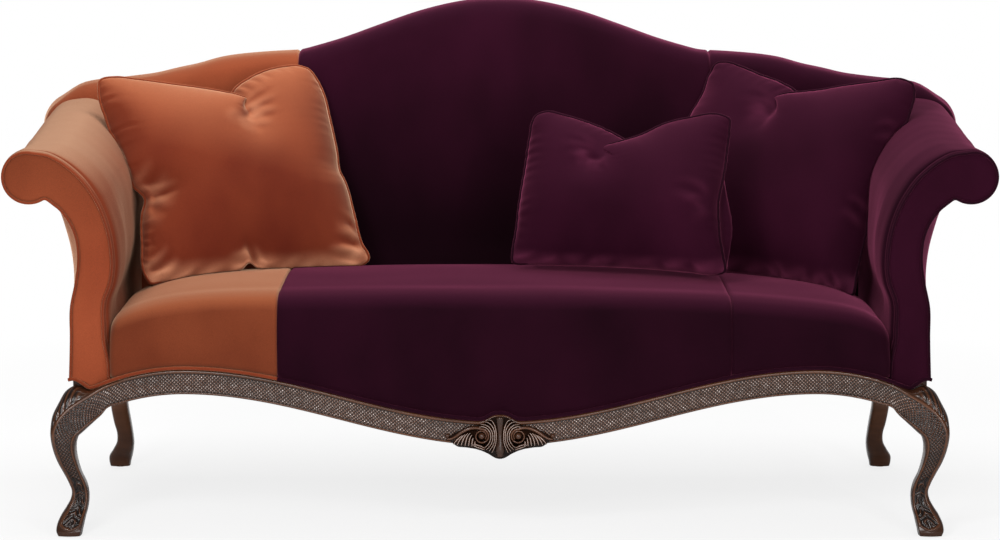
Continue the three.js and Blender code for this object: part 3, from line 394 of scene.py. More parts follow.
def velvet(name, colours, sheen, weight, darkening=None, painted_sheen=None):
    """Cut pile: patches where its nap lies differently, a painted highlight where it faces upwards, a painted
    sheen where the mesh's relief asks for it, a fine grain and a soft glow.

    colours are the pile's deep and light tone and the painted highlight of its upward faces. A colour for
    the painted sheen may be given; otherwise it is the highlight's. darkening, when given, is the two heights
    in metres between which the pile goes from a dark share to its full tone, and that share.
    """
    deep, light, painted_top_light = colours
    material, tree, shader = new_material(name)
    patches = noise(tree, 5.0, 3.0, 0.5, (1.0, 1.0, 0.6))
    pile_and_painted_light = ramp(tree, patches, [(0.32, deep), (0.7, light)])
    coords = new_node(tree, "TexCoord", {})
    facing = new_node(tree, "SeparateXYZ", {"Vector": coords.outputs["Normal"]})
    # Painted highlight where the pile faces upwards, and painted sheen where the mesh's relief is high
    upwards = ramp(tree, facing.outputs["Z"], [(0.45, 0.0), (0.95, 1.0)])
    pile_and_painted_light = mix(tree, relief(tree), mix(tree, upwards, pile_and_painted_light, painted_top_light), painted_sheen or painted_top_light)
    feed(tree, shader, {"Sheen Weight": weight})
    # The pile and its sheen darken towards one of two heights: painted shade down the back, and darker
    # towards the top of the arm facings
    if darkening:
        where = new_node(tree, "SeparateXYZ", {"Vector": coords.outputs["Object"]})
        rise = new_node(tree, "MapRange", {"Value": where.outputs["Z"], "From Min": darkening[0],
                                           "From Max": darkening[1], "To Min": darkening[2]})
        rise.interpolation_type = "SMOOTHSTEP"
        lit = rise.outputs["Result"]
        pile_and_painted_light = mix(tree, 1.0, pile_and_painted_light, lit, "MULTIPLY")
        feed(tree, shader, {"Sheen Weight": product(tree, lit, weight)})
    pile = noise(tree, 900.0, 2.0)
    grain = ramp(tree, pile, [(0.3, 0.72), (0.7, 1.0)])
    feed(tree, shader, {
        "Base Color": mix(tree, 1.0, pile_and_painted_light, grain, "MULTIPLY"), "Roughness": 0.85,
        "Specular IOR Level": 0.03, "Sheen Roughness": 0.38, "Sheen Tint": sheen,
        "Normal": bump(tree, pile, 0.25, 0.0006),
    })
    return material


def carved_wood(name, stops):
    """Polished walnut: painted shade in its hollows, lighter on its beads, a painted highlight on its peaks,
    with long grain and fine pores.
    """
    material, tree, shader = new_material(name)
    colour = ramp(tree, relief(tree), stops)
    grain = noise(tree, 26.0, 6.0, 0.65, (0.3, 1.0, 1.6))
    shade = ramp(tree, grain, [(0.3, 0.62), (0.7, 1.2)])
    pores = noise(tree, 260.0, 3.0, 0.6, (0.3, 1.0, 1.4))
    feed(tree, shader, {
        "Base Color": mix(tree, 1.0, colour, shade, "MULTIPLY"), "Roughness": 0.2,
        "Specular IOR Level": 0.26, "Normal": bump(tree, pores, 0.1, 0.0006),
    })
    return material


def plain_wood(name, dark, light):
    material, tree, shader = new_material(name)
    grain = noise(tree, 14.0, 5.0, 0.6, (0.3, 1.0, 2.0))
    feed(tree, shader, {"Base Color": ramp(tree, grain, [(0.3, dark), (0.75, light)]), "Roughness": 0.6,
                        "Normal": bump(tree, grain, 0.15, 0.001)})
    return material


def woven(name, dark, light, scale):
    """Plain weave cloth."""
    material, tree, shader = new_material(name)
    coords = new_node(tree, "TexCoord", {})
    threads = []
    for direction in ("X", "Y"):
        thread = new_node(tree, "TexWave", {"Scale": scale, "Distortion": 1.5,
                                            "Vector": coords.outputs["Object"]})
        thread.bands_direction = direction
        threads.append(thread.outputs["Fac"])
    cross = mix(tree, 0.5, *threads)
    feed(tree, shader, {"Base Color": ramp(tree, cross, [(0.2, dark), (0.8, light)]), "Roughness": 0.9,
                        "Normal": bump(tree, cross, 0.3, 0.0008)})
    return material


ORANGE_SHEEN = (1.0, 0.64, 0.42)
PURPLE_SHEEN = (0.50, 0.10, 0.21)
# Each pile's deep and light tone, then the painted highlight of its faces that turn upwards
ORANGE_PILE = ((0.175, 0.034, 0.0135), (0.27, 0.060, 0.024), (0.24, 0.055, 0.022))
PURPLE_PILE = ((0.0125, 0.0011, 0.0052), (0.0225, 0.0022, 0.0095), (0.02, 0.002, 0.009))

# From the painted shade of the carving's hollows through plain wood and its beads to the painted highlight of
# its peaks
WALNUT_STOPS = [
    (0.0, (0.003, 0.0018, 0.0015)), (0.25, (0.012, 0.005, 0.003)), (0.5, (0.034, 0.0125, 0.0058)),
    (0.7, (0.075, 0.027, 0.011)), (0.84, (0.15, 0.10, 0.078)), (1.0, (0.68, 0.66, 0.65)),
]

orange = velvet("orange_pile", ORANGE_PILE, ORANGE_SHEEN, 0.62)
# The seat and the arms' insides: darker, shaded copies of the pile, with a painted highlight on their tops
orange_seat = velvet("orange_seat", ((0.095, 0.0185, 0.0075), (0.15, 0.034, 0.0135), (0.235, 0.062, 0.024)),
                     ORANGE_SHEEN, 0.4)
orange_arm = velvet("orange_arm", ((0.115, 0.0195, 0.008), (0.18, 0.036, 0.0145), (0.34, 0.175, 0.105)),
                    ORANGE_SHEEN, 0.2)
# The arm facings: darker towards the top
orange_facing = velvet("orange_facing", ORANGE_PILE, ORANGE_SHEEN, 0.62, (0.78, 0.52, 0.55))
# The orange cushion: a deeper, shaded copy of the pile, with a painted sheen along its foot and beside its
# creases
orange_cushion = velvet("orange_cushion",
                        ((0.105, 0.015, 0.007), (0.17, 0.031, 0.0125), (0.33, 0.095, 0.042)),
                        ORANGE_SHEEN, 0.62, painted_sheen=(0.48, 0.20, 0.11))
orange_welt = velvet("orange_welt", ((0.12, 0.020, 0.008), (0.19, 0.035, 0.013), (0.26, 0.06, 0.024)),
                     ORANGE_SHEEN, 0.5)
purple = velvet("purple_pile", PURPLE_PILE, PURPLE_SHEEN, 0.6)
# The back: painted shade, darker down towards the seat
purple_back = velvet("purple_back", PURPLE_PILE, PURPLE_SHEEN, 0.6, (0.50, 0.93, 0.35))
# The purple seat and the right arm's inside: a darker, shaded copy of the pile, with a painted highlight on
# their tops
purple_shaded = velvet("purple_shaded", ((0.007, 0.0006, 0.003), (0.013, 0.0013, 0.0055), (0.024, 0.0024, 0.010)),
                     PURPLE_SHEEN, 0.3)
# The purple cushions: a painted sheen along their feet and beside their creases
purple_cushion = velvet("purple_cushion",
                        ((0.0135, 0.0011, 0.0055), (0.024, 0.0025, 0.0102), (0.027, 0.003, 0.0115)),
                        PURPLE_SHEEN, 0.6, painted_sheen=(0.085, 0.014, 0.036))
purple_welt = velvet("purple_welt",
                     ((0.008, 0.001, 0.0036), (0.014, 0.0018, 0.0066), (0.014, 0.0018, 0.0066)),
                     PURPLE_SHEEN, 0.35)
walnut = carved_wood("walnut_carved", WALNUT_STOPS)
walnut_rail = plain_wood("walnut_rail", (0.022, 0.009, 0.0045), (0.05, 0.019, 0.009))
beech = plain_wood("beech", (0.30, 0.19, 0.10), (0.45, 0.31, 0.18))
jute = woven("jute_web", (0.28, 0.20, 0.11), (0.45, 0.34, 0.20), 400.0)
cambric = woven("dust_cambric", (0.016, 0.016, 0.018), (0.035, 0.035, 0.038), 700.0)
felt = woven("glide_felt", (0.10, 0.09, 0.08), (0.16, 0.15, 0.13), 900.0)

# The outlines, as shares of the sizes that they follow

ARM_INSIDE_SHARES = [
    (0.083, 0.02), (0.091, 0.24), (0.087, 0.35), (0.03, 0.43), (0.008, 0.5), (0.012, 0.57), (0.03, 0.637),
    (0.065, 0.705), (0.117, 0.773), (0.191, 0.838), (0.274, 0.893), (0.374, 0.938), (0.483, 0.972),
    (0.6, 0.994),
]
FACING_OUTSIDE_SHARES = [
    (0.509, 0.746), (0.435, 0.697), (0.383, 0.637), (0.361, 0.55), (0.383, 0.447),
    (0.43, 0.335), (0.435, 0.205), (0.448, 0.03),
]
PANEL_OUTSIDE_SHARES = [
    (0.62, 0.715), (0.592, 0.68), (0.562, 0.637), (0.51, 0.55), (0.478, 0.447),
    (0.474, 0.335), (0.468, 0.205), (0.46, 0.03),
]
HUMP_SHARES = [
    (0, 0), (0.05, 0.005), (0.095, 0.035), (0.19, 0.146), (0.285, 0.308), (0.38, 0.476), (0.428, 0.546),
    (0.471, 0.605),
]
SHOULDER_SHARES = [
    (0.471, 0.605), (0.523, 0.616), (0.57, 0.632), (0.618, 0.654), (0.666, 0.692), (0.714, 0.762),
    (0.762, 0.811), (0.81, 0.87), (0.857, 0.903), (0.905, 0.93), (0.952, 0.951), (1, 1),
]
ROLL_START = 1.75
ROLL_END = -2.2
ROLL_STEPS = 24
ROLL_MIDDLE_SHARES = ((ARM_REACH - ROLL_RADIUS) / ARM_REACH, (ARM_HEIGHT - ROLL_RADIUS) / ARM_HEIGHT)


# Shape rules

BOW_MARGIN = 17.0


def back_face(z):
    return BACK_PLACE + BACK_RAKE * (z - SEAT_HEIGHT)


def bow(x):
    return SEAT_BOW * (1 + np.cos(math.pi * np.minimum(1, np.abs(x) / (SEAT_HALF + BOW_MARGIN)))) / 2


def apron_face(x):
    return APRON_FRONT - bow(x)


def apron_line(x):
    x = np.abs(x)
    rise = APRON_LOW + APRON_SWEEP * (1 - np.cos(math.pi * x / APRON_PEAK_PLACE)) / 2
    beyond = (x - APRON_PEAK_PLACE) / (APRON_END - APRON_PEAK_PLACE)
    return np.where(x < APRON_PEAK_PLACE, rise, APRON_LOW + APRON_SWEEP - APRON_END_DROP * beyond ** 2)


def apron_top(x):
    """The apron's upper edge, with the small arch over its ornament."""
    return apron_line(x) + ARCH_RISE * np.exp(-(np.abs(x) / ARCH_REACH) ** 3)


def seat_top(x):
    """The settled seat's highest line: it stays fuller towards the left arm than towards the right one."""
    slope, drop, power = SEAT_FALL_LEFT if x < 0 else SEAT_FALL_RIGHT
    share = abs(x) / SEAT_HALF
    return SEAT_CROWN - slope * share ** 2 - drop * share ** power


def seat_path(x):
    front = float(apron_face(x))
    bottom = float(apron_top(x)) + 2 * GAP + 2 * WELT_RADIUS
    top = seat_top(x)
    radius = SEAT_EDGE_RADIUS
    edge = top - radius
    rear = top - SEAT_REAR_DROP
    return np.array([
        (front + 2, bottom - 1),
        (front - SEAT_BELLY * 0.45, lerp(bottom, edge, 0.22)),
        (front - SEAT_BELLY, lerp(bottom, edge, 0.55)),
        (front + radius * 0.02, edge),
        (front + radius * 0.22, edge + radius * 0.42),
        (front + radius * 0.6, edge + radius * 0.74),
        (front + radius, edge + radius * 0.86),
        (lerp(front + radius, SEAT_CROWN_PLACE, 0.35), top - radius * 0.06),
        (SEAT_CROWN_PLACE, top),
        (lerp(SEAT_CROWN_PLACE, back_face(rear), 0.5), top - SEAT_REAR_DROP * 0.25),
        (back_face(rear) - GAP, rear),
    ])


def on_arm(y, reach, up):
    way = np.clip(y / back_face(ARM_TOP), 0, 1)
    lean = ROLL_FLARE * ease(up) * (way - ease(y / FLARE_LENGTH))
    rise = ROLL_RISE * way * np.clip(up, 0, 1) ** 1.5
    return SEAT_HALF + ARM_REACH * reach + lean, ARM_BOTTOM + ARM_HEIGHT * up + rise


def roll_path(y):
    x, z = on_arm(y, *ROLL_MIDDLE_SHARES)
    turn = np.linspace(ROLL_START, ROLL_END, ROLL_STEPS + 1)
    return np.stack([x + ROLL_RADIUS * np.cos(turn), z + ROLL_RADIUS * np.sin(turn)], 1)


def arm_path(y, from_share=0.0):
    """The inside of an arm, from its foot or a share of its height up and round its roll."""
    inside = [row for row in ARM_INSIDE_SHARES if row[1] > from_share]
    if from_share > 0:
        reaches, ups = zip(*ARM_INSIDE_SHARES)
        inside = [(np.interp(from_share, ups, reaches), from_share)] + inside
    return np.concatenate([[on_arm(y, *row) for row in inside], roll_path(y)])


def arm_outside(y):
    share = float(ease((y - FACING_THICKNESS - GAP) / FLARE_LENGTH))
    rows = lerp(np.array(FACING_OUTSIDE_SHARES), np.array(PANEL_OUTSIDE_SHARES), share)
    return np.array([roll_path(y)[-1] - (0, 2 * GAP)] + [on_arm(y, *row) for row in rows])


# Seams, where the cloth dips in

# How deep a seam sinks and how far from it the cloth starts to dip
SEAM = (5.0, 7.0)
SEAM_POWER = 2.2
SEAM_STEPS = np.array([0, 0.4, 1.2, 2.4, 4.0, 6.5, 10.0])
SEAM_MARGIN = 13.0


def panel_steps(start, end, step):
    """Even steps across a panel, closer together by its two ends."""
    steps = np.linspace(start, end, int((end - start) / step))
    middle = steps[(steps > start + SEAM_MARGIN) & (steps < end - SEAM_MARGIN)]
    return np.concatenate([start + SEAM_STEPS, middle, end - SEAM_STEPS[::-1]])


def dip(away, depth, width):
    return depth * max(0.0, 1 - abs(away) / width) ** SEAM_POWER


# Upholstered seat

SEAT_RINGS_STEP = 5.0
SEAT_PATH_POINTS = 64
SEAT_UNEVEN = 1.2
SEAT_UNEVEN_LENGTH = 90.0
SEAT_END_SEAM = (9.0, 14.0)
SEAT_WELT_STEP = 6.0


def seat_panel(name, start, end, material, *nodes):
    rings = []
    for x in panel_steps(start, end, SEAT_RINGS_STEP):
        path = smooth(seat_path(x), SEAT_PATH_POINTS)
        sink = 0.0
        for border in (start, end):
            seam = SEAM if abs(border) < SEAT_HALF else SEAT_END_SEAM
            sink += dip(x - border, *seam)
        uneven = SEAT_UNEVEN * wave(np.insert(path, 0, x, axis=1), SEAT_UNEVEN_LENGTH)
        fade = np.sin(np.linspace(0, math.pi, len(path))) ** 0.5
        path = offset_path(path, sink - uneven * fade)
        lip = float(apron_face(x)) + APRON_THICKNESS - SEAT_LIP
        y, z = path[-1]
        under = [(y - BACK_RAKE * (z - DECK_TOP), DECK_TOP + 2), (lip, DECK_TOP + 2), (lip, path[0][1])]
        rings.append(np.insert(np.concatenate([path, under]), 0, x, axis=1))
    return loft(name, rings, material, nodes, fill=0.85)


def seat_welt(name, start, end, material, node):
    across = np.linspace(start, end, int((end - start) / SEAT_WELT_STEP))
    line = np.stack([across, apron_top(across) + GAP + WELT_RADIUS], 1)
    welt(name, stood(line, apron_face(across) + WELT_RADIUS * 0.3), WELT_RADIUS, material, [node])


seats = [
    seat_panel("seat_orange", -SEAT_END, -SEAM_LEFT, orange_seat, "seat_cover_left"),
    seat_panel("seat_purple", -SEAM_LEFT, SEAM_RIGHT, purple_shaded, "seat_cover_middle", "seat_foam"),
    seat_panel("seat_purple_end", SEAM_RIGHT, SEAT_END, purple_shaded, "seat_cover_right"),
]
seat_welt("seat_welt_front_orange", -SEAT_END, -SEAM_LEFT, orange_welt, "seat_welt_orange")
seat_welt("seat_welt_front_purple", -SEAM_LEFT, SEAT_END, purple_welt, "seat_welt_purple")


# Upholstered back

CREST_POINTS = 60
CLIMB_POINTS = 40
FLAT_END = SEAT_HALF * 0.86
WING_START = 1.05
WING_END = -2.05
WING_POINTS = 60
BACK_RINGS_STEP = 6.0
BACK_SECTION_POINTS = 56


def crest_points(shares):
    across, down = np.array(shares, float).T
    rows = np.stack([CREST_END * across, lerp(CREST_HEIGHT, CREST_END_HEIGHT, down)], 1)
    return spline(rows[:, 0], rows, np.linspace(rows[0, 0], rows[-1, 0], CREST_POINTS))


def back_half():
    """Rows from the middle out: outline across and up, then the line that the cover starts from."""
    y = back_face(ARM_TOP)
    rear = offset_path(arm_path(y, (BACK_BOTTOM - ARM_BOTTOM) / ARM_HEIGHT), BACK_TUCK)
    climb = smooth(rear[:-ROLL_STEPS], CLIMB_POINTS)
    crest = np.concatenate([crest_points(HUMP_SHARES), crest_points(SHOULDER_SHARES)[1:]])
    flat = crest[:, 0] <= FLAT_END
    rows = []
    for x, z in crest[flat]:
        share = np.clip((x - SEAM_RIGHT) / (FLAT_END - SEAM_RIGHT), 0, 1)
        rows.append((x, z, lerp(x, climb[0][0], share), BACK_BOTTOM))
    spots = np.linspace(0, CLIMB_POINTS - 1, np.sum(~flat) + 1)[1:]
    for (x, z), spot in zip(crest[~flat], spots):
        rows.append((x, z, *(np.interp(spot, range(CLIMB_POINTS), line) for line in climb.T)))
    x, z = on_arm(y, *ROLL_MIDDLE_SHARES)
    outer, inner = ROLL_RADIUS + WING_MARGIN, ROLL_RADIUS - BACK_TUCK
    for turn in np.linspace(WING_START, WING_END, WING_POINTS):
        across, up = math.cos(turn), math.sin(turn)
        rows.append((x + outer * across, z + outer * up, x + inner * across, z + inner * up))
    return np.array(rows)


def back_section(row):
    """The back's face along one row, as inset from the outline and depth behind the face."""
    x, z, start_x, start_z = row
    run = math.hypot(start_x - x, start_z - z)
    edge = min(BACK_EDGE_RADIUS, run * 0.8)
    seat_inset = run * (z - SEAT_HEIGHT) / (z - start_z) if start_z < SEAT_HEIGHT else run * 0.9
    swell = BACK_CROWN * np.clip(1 - (x / FLAT_END) ** 2, 0, 1)
    points = []
    for depth in [run] + [lerp(edge, seat_inset, share) for share in (1, 0.8, 0.6, 0.4, 0.2)]:
        up = (lerp(z, start_z, depth / run) - SEAT_HEIGHT) / max(1.0, z - edge - SEAT_HEIGHT)
        points.append((depth, -swell * math.sin(math.pi * min(1.0, max(0.0, up)))))
    for turn in (0, 0.25, 0.5, 0.75, 1):
        angle = turn * math.pi / 2
        points.append((edge * (1 - math.sin(angle)), edge * (1 - math.cos(angle))))
    points += [(0.0, BACK_THICKNESS - edge * 0.35), (edge * 0.06, BACK_THICKNESS - CLOTH * 1.6),
               (edge * 0.3, BACK_THICKNESS - CLOTH)]
    return smooth(points, BACK_SECTION_POINTS)


def back_panel(name, start, end, material, *nodes):
    """The back between two seams. A start or an end of None is the end of the whole back."""
    half = soften(back_half(), 3)
    whole = np.concatenate([half[:0:-1] * (-1, 1, -1, 1), half])
    places = along(whole[:, :2])
    first = places[0] if start is None else np.interp(start, whole[:, 0], places)
    last = places[-1] if end is None else np.interp(end, whole[:, 0], places)
    seams = [border for border, seam in ((first, start), (last, end)) if seam is not None]
    rings = []
    for step in panel_steps(first, last, BACK_RINGS_STEP):
        row = np.array([np.interp(step, places, line) for line in whole.T])
        outline, base = row[:2], row[2:]
        run = np.linalg.norm(base - outline)
        section = offset_path(back_section(row), sum(dip(step - seam, *SEAM) for seam in seams))
        section = np.concatenate([section, [(run, BACK_THICKNESS - CLOTH)]])
        flat = outline + (base - outline) * section[:, :1] / run
        rings.append(stood(flat, back_face(flat[:, 1]) + section[:, 1]))
    return loft(name, rings, material, nodes, fill=0.9)


backs = [
    back_panel("back_orange", None, -SEAM_LEFT, orange, "back_cover_left"),
    back_panel("back_purple", -SEAM_LEFT, SEAM_RIGHT, purple_back, "back_cover_middle", "back_foam"),
    back_panel("back_purple_end", SEAM_RIGHT, None, purple_back, "back_cover_right"),
]


# Upholstered arms

ARM_START = FACING_THICKNESS + GAP
ARM_END = 658.0
ARM_SECTIONS = [ARM_START, 24.0, 33.0, 50.0, 68.0, 90.0, FLARE_LENGTH, 220.0, 330.0, 495.0, ARM_END]
ARM_BEHIND_BACK = 8.0
ARM_OUTER_POINTS = 90
ARM_INNER_POINTS = 40
ARM_PANEL_POINTS = 50
# The hollow between the seat and the roll: its depth, then its plateau along the arm and up it
ARM_HOLLOW = 13.0
HOLLOW_ALONG = (70.0, 110.0, 495.0, 163.0)
HOLLOW_UP = (0.22, 0.15, 0.62, 0.25)
# The roll's rise towards the back: how high, from which share of the height up, and over what length
ARM_REAR_LIFT = 6.0
ARM_LIFT_START = 0.6
ARM_LIFT_LENGTH = 600.0
ARM_SOFT_LENGTH = 330.0
ARM_EDGE_ROLL = 7.0
ARM_EDGE_LENGTH = 26.0
ARM_FOLD = 0.45
ARM_FOLD_LENGTH = 38.0
ARM_FOLD_START = 60.0
# Where the rolled front edge is full, by the length along it: inside the arm, then less over its roll
FULL_EDGE = (30.0, 60.0, 430.0, 170.0)


def arm_section(ring, y, behind):
    """A section of an arm at a depth. The last one follows the back's face, some way behind it."""
    return stood(ring, back_face(ring[:, 1]) + behind if y == ARM_END else y)


def arm_rings(sections, front_count, step, rear_count):
    fine = np.concatenate([np.linspace(ARM_START, FLARE_LENGTH, front_count),
                           np.linspace(FLARE_LENGTH + step, ARM_END, rear_count)])
    return fine, spline(ARM_SECTIONS, np.array(sections), fine)


def arm_shell(name, side, material, *nodes):
    """The inside of an arm and its roll, with its padding."""
    sections = []
    for y in ARM_SECTIONS:
        outer = smooth(arm_path(y, (PAD_BOTTOM - ARM_BOTTOM) / ARM_HEIGHT), ARM_OUTER_POINTS)
        inner = smooth(offset_path(outer, CLOTH + ARM_SKIN), ARM_INNER_POINTS)[::-1]
        outer = soften(outer, int(10 * min(1.0, y / ARM_SOFT_LENGTH)))
        height = (outer[:, 1] - ARM_BOTTOM) / ARM_HEIGHT
        lift = ARM_REAR_LIFT * min(1.0, y / ARM_LIFT_LENGTH)
        outer[:, 1] += lift * ease((height - ARM_LIFT_START) / (1 - ARM_LIFT_START))
        outer[:, 0] += ARM_HOLLOW * plateau(y, *HOLLOW_ALONG) * plateau(height, *HOLLOW_UP)
        sections.append(arm_section(np.concatenate([outer, inner]), y, ARM_BEHIND_BACK))
    fine, rings = arm_rings(sections, front_count=26, step=8, rear_count=70)
    ahead = (np.roll(rings, -1, axis=1) - np.roll(rings, 1, axis=1))[:, :ARM_OUTER_POINTS]
    inwards = np.stack([ahead[..., 2], 0 * ahead[..., 0], -ahead[..., 0]], 2)
    inwards /= np.maximum(np.linalg.norm(inwards, axis=2, keepdims=True), 1e-6)
    outside = rings[:, :ARM_OUTER_POINTS]
    depth = fine[:, None, None] - ARM_START
    turn = np.clip(1 - depth / ARM_EDGE_LENGTH, 0, 1)
    length = along(outside[0][:, [0, 2]]) + PAD_BOTTOM - ARM_BOTTOM
    rolled = ARM_EDGE_ROLL * plateau(length, *FULL_EDGE)[None, :, None] * (1 - np.sqrt(1 - turn ** 2))
    folds = ARM_FOLD * (1 + wave(outside, ARM_FOLD_LENGTH, 5.0)[..., None]) * ease(depth / ARM_FOLD_START)
    rings[:, :ARM_OUTER_POINTS] = outside + inwards * (rolled + folds)
    return loft(name, on_side(rings, side), material, nodes, fill=0.9)


def arm_panel(name, side, material, node):
    """The outside of an arm, below its roll."""
    sections = []
    for y in ARM_SECTIONS:
        outer = smooth(arm_outside(y), ARM_PANEL_POINTS)
        ring = np.concatenate([outer, offset_path(outer, 2 * CLOTH)[::-1]])
        sections.append(arm_section(ring, y, BACK_THICKNESS))
    _, rings = arm_rings(sections, front_count=20, step=10, rear_count=40)
    loft(name, on_side(rings, side), material, [node])


# The scalloped foot of an arm, from its outside corner in to the seat: across, depth, up
FOOT_SCALLOP = [
    (854, 1.0, 308.0), (848, 0.5, 309.5), (842, 0.5, 309.5), (836, 0.0, 307.5), (828, -1.0, 303.0),
    (820, -2.5, 297.5), (812, -5.0, 293.5), (803, -8.0, 295.0), (794, -12.0, 298.5), (784, -15.0, 303.0),
    (775, -17.5, 306.8), (768, -17.0, 309.7),
]
FOOT_FOLD_START = 318.0
FOOT_FOLD_REACH = 14.0
FOOT_WELT_POINTS = 60
# Points along the inside, the outside and the foot of the facing, then all round it once evened out
FACING_RUNS = (120, 50, 30)
FACING_POINTS = 400
FACING_SHIFT = 9.0
FACING_WELT_INSET = 3.4
FACING_WELT_DEPTH = 0.6
FACING_WELT_RADIUS = 2.8
# Where the facing's welt starts and ends, across and up
WELT_START = (776.0, 306.0)
WELT_STOP = (846.0, 312.0)
# The facing's face, then how the cover rolls over the arm's front edge: inwards and back
FACING_STEPS = ((4.4, 12.0), (4.4, 6.5), (5.2, 3.8), (7.2, 1.8), (10.6, 0.6), (16.0, -0.4))
EDGE_STEPS = ((-2.4, 14.0), (-2.0, 12.0), (-1.3, 9.0), (-0.2, 6.2), (1.0, 4.6), (2.2, 4.4), (2.4, 12.0))


def facing_outline():
    """The front of an arm, from its inside foot up over the roll and down, then along its scalloped foot."""
    runs = (arm_path(0.0), arm_outside(0.0)[1:], np.array(FOOT_SCALLOP)[1:-2, [0, 2]])
    return np.concatenate([smooth(run, count) for run, count in zip(runs, FACING_RUNS)])


def facing_inset(outline, distance):
    """The outline moved inwards at its sides, and kept at its foot, where the cover folds under."""
    shift = FACING_SHIFT * plateau(along(outline), *FULL_EDGE)
    moved = inset(outline, np.maximum(shift + distance, 0)[:, None])
    kept = ease((outline[:, 1] - FOOT_FOLD_START) / FOOT_FOLD_REACH)[:, None]
    side_only = np.stack([moved[:, 0], outline[:, 1] + 1.0], 1)
    return lerp(side_only, moved, kept)


def nearest(outline, spot):
    return int(np.argmin(np.hypot(*(outline - spot).T)))


def arm_facing(name, side, cloth, edge_cloth, cord, cover_node, welt_node):
    outline = even(facing_outline(), FACING_POINTS)
    rings = [stood(facing_inset(outline, distance), depth) for distance, depth in FACING_STEPS]
    faces = ring_faces(len(rings), FACING_POINTS)[:-2]
    for ring, order in ((0, -1), (len(rings) - 1, 1)):
        flat = [Vector((x, z, 0)) for x, _, z in rings[ring]]
        for tri in geometry.tessellate_polygon([flat]):
            faces.append(tuple(k + ring * FACING_POINTS for k in tri)[::order])
    piece = make(name, on_side(np.concatenate(rings), side), faces, cloth, [cover_node])
    for polygon in piece.data.polygons:
        polygon.use_smooth = len(polygon.vertices) == 4
    edge = facing_inset(outline, FACING_WELT_INSET)
    start = nearest(edge, WELT_START)
    stop = nearest(np.roll(edge, -start, axis=0), WELT_STOP) + 1

    def over_roll(distance, depth):
        """The part of the outline that goes up over the roll, from foot to foot."""
        flat = np.roll(facing_inset(outline, distance), -start, axis=0)[:stop]
        return on_side(stood(flat, depth), side)

    route = over_roll(FACING_WELT_INSET, FACING_WELT_DEPTH)
    welt(name + "_welt", route, FACING_WELT_RADIUS, cord, [welt_node])
    loft(name + "_edge", np.stack([over_roll(*step) for step in EDGE_STEPS], 1), edge_cloth)
    welt(name + "_foot_welt", on_side(smooth(FOOT_SCALLOP, FOOT_WELT_POINTS), side), WELT_RADIUS, cord)


SIDES = (("left", -1), ("right", 1))
arms = []
# Each arm's inside takes the darker, shaded copy of its pile, with its painted highlight on top
for (word, side), (plain, front, shaded_pile, cord) in zip(SIDES, ((orange, orange_facing, orange_arm, orange_welt),
                                                            (purple, purple, purple_shaded, purple_welt))):
    arms.append(arm_shell(f"arm_inside_{word}", side, shaded_pile, f"arm_cover_{word}", f"arm_pad_{word}"))
    arm_panel(f"arm_outside_{word}", side, plain, f"outside_arm_{word}")
    arm_facing(f"arm_front_{word}", side, front, shaded_pile, cord, f"arm_facing_{word}", f"arm_welt_{word}")


# Cushions

CUSHION_CELLS = 60
CUSHION_FRAMES = 24
CUSHION_SCALE = 4.0
CUSHION_PRESSURE = 4.5
CUSHION_MOVE = 45.0
CUSHION_WELT = 3.0
CUSHION_FOOT_FULLNESS = 0.18
PATTERN_SHARE = 1.075
PATTERN_GAP = 1.0
RIM_RIPPLE = (0.6, 1.0, 0.6)
REST_REACH = 250.0
REST_GAP = 1.4
# Where a cushion's painted pale sheen along its foot and its sag set in below its middle, and over what share
# they grow
PALE_FOOT = (0.74, 0.2)
SAG_FOOT = (0.25, 0.6)
# How a crease bends, and where the ridge beside it runs and how wide it is, as shares of its width
CREASE_BEND = 0.06
RIDGE_PLACE = 1.9
RIDGE_WIDTH = 0.9
# How fast the folded top edge fades down the face: sideways, forwards and up
FOLD_FADE = np.array([7.0, 3.5, 2.6])

# The rim of each cushion seen from its front: the top, right, bottom and left sides from corner to corner.
# Each row is across and up as shares of half the width and half the height, then forwards in millimetres.
ORANGE_RIM = (
    [(-1.03, 0.985, 0), (-0.9, 1.0, 0), (-0.74, 0.97, 0), (-0.39, 0.885, 2), (-0.125, 0.81, 8),
     (0.03, 0.745, 17), (0.14, 0.695, 22), (0.215, 0.66, 20), (0.17, 0.68, 2), (0.10, 0.725, -6),
     (0.14, 0.80, -6), (0.30, 0.90, 0), (0.47, 0.965, 0), (0.62, 0.99, 0), (0.76, 0.99, 0)],
    [(0.85, 0.95, 0), (0.91, 0.84, 0), (0.945, 0.70, 0), (0.955, 0.44, 0), (0.955, 0.11, 0),
     (0.945, -0.09, 0), (0.965, -0.16, 0), (0.99, -0.48, 0), (1.0, -0.77, 0)],
    [(1.03, -0.95, 0), (0.93, -0.99, -8), (0.6, -0.97, -24), (0.2, -0.93, -30), (0.06, -0.88, -22),
     (-0.02, -0.83, -14), (-0.08, -0.88, -20), (-0.2, -0.92, -28), (-0.55, -0.94, -24),
     (-0.82, -0.96, -12)],
    [(-0.93, -0.98, 0), (-0.96, -0.90, 0), (-0.93, -0.6, -6), (-0.88, -0.32, -10), (-0.83, -0.18, -8),
     (-0.93, -0.04, -4), (-0.99, 0.12, 0), (-1.01, 0.3, 0), (-1.05, 0.6, 0), (-1.07, 0.86, 0)],
)
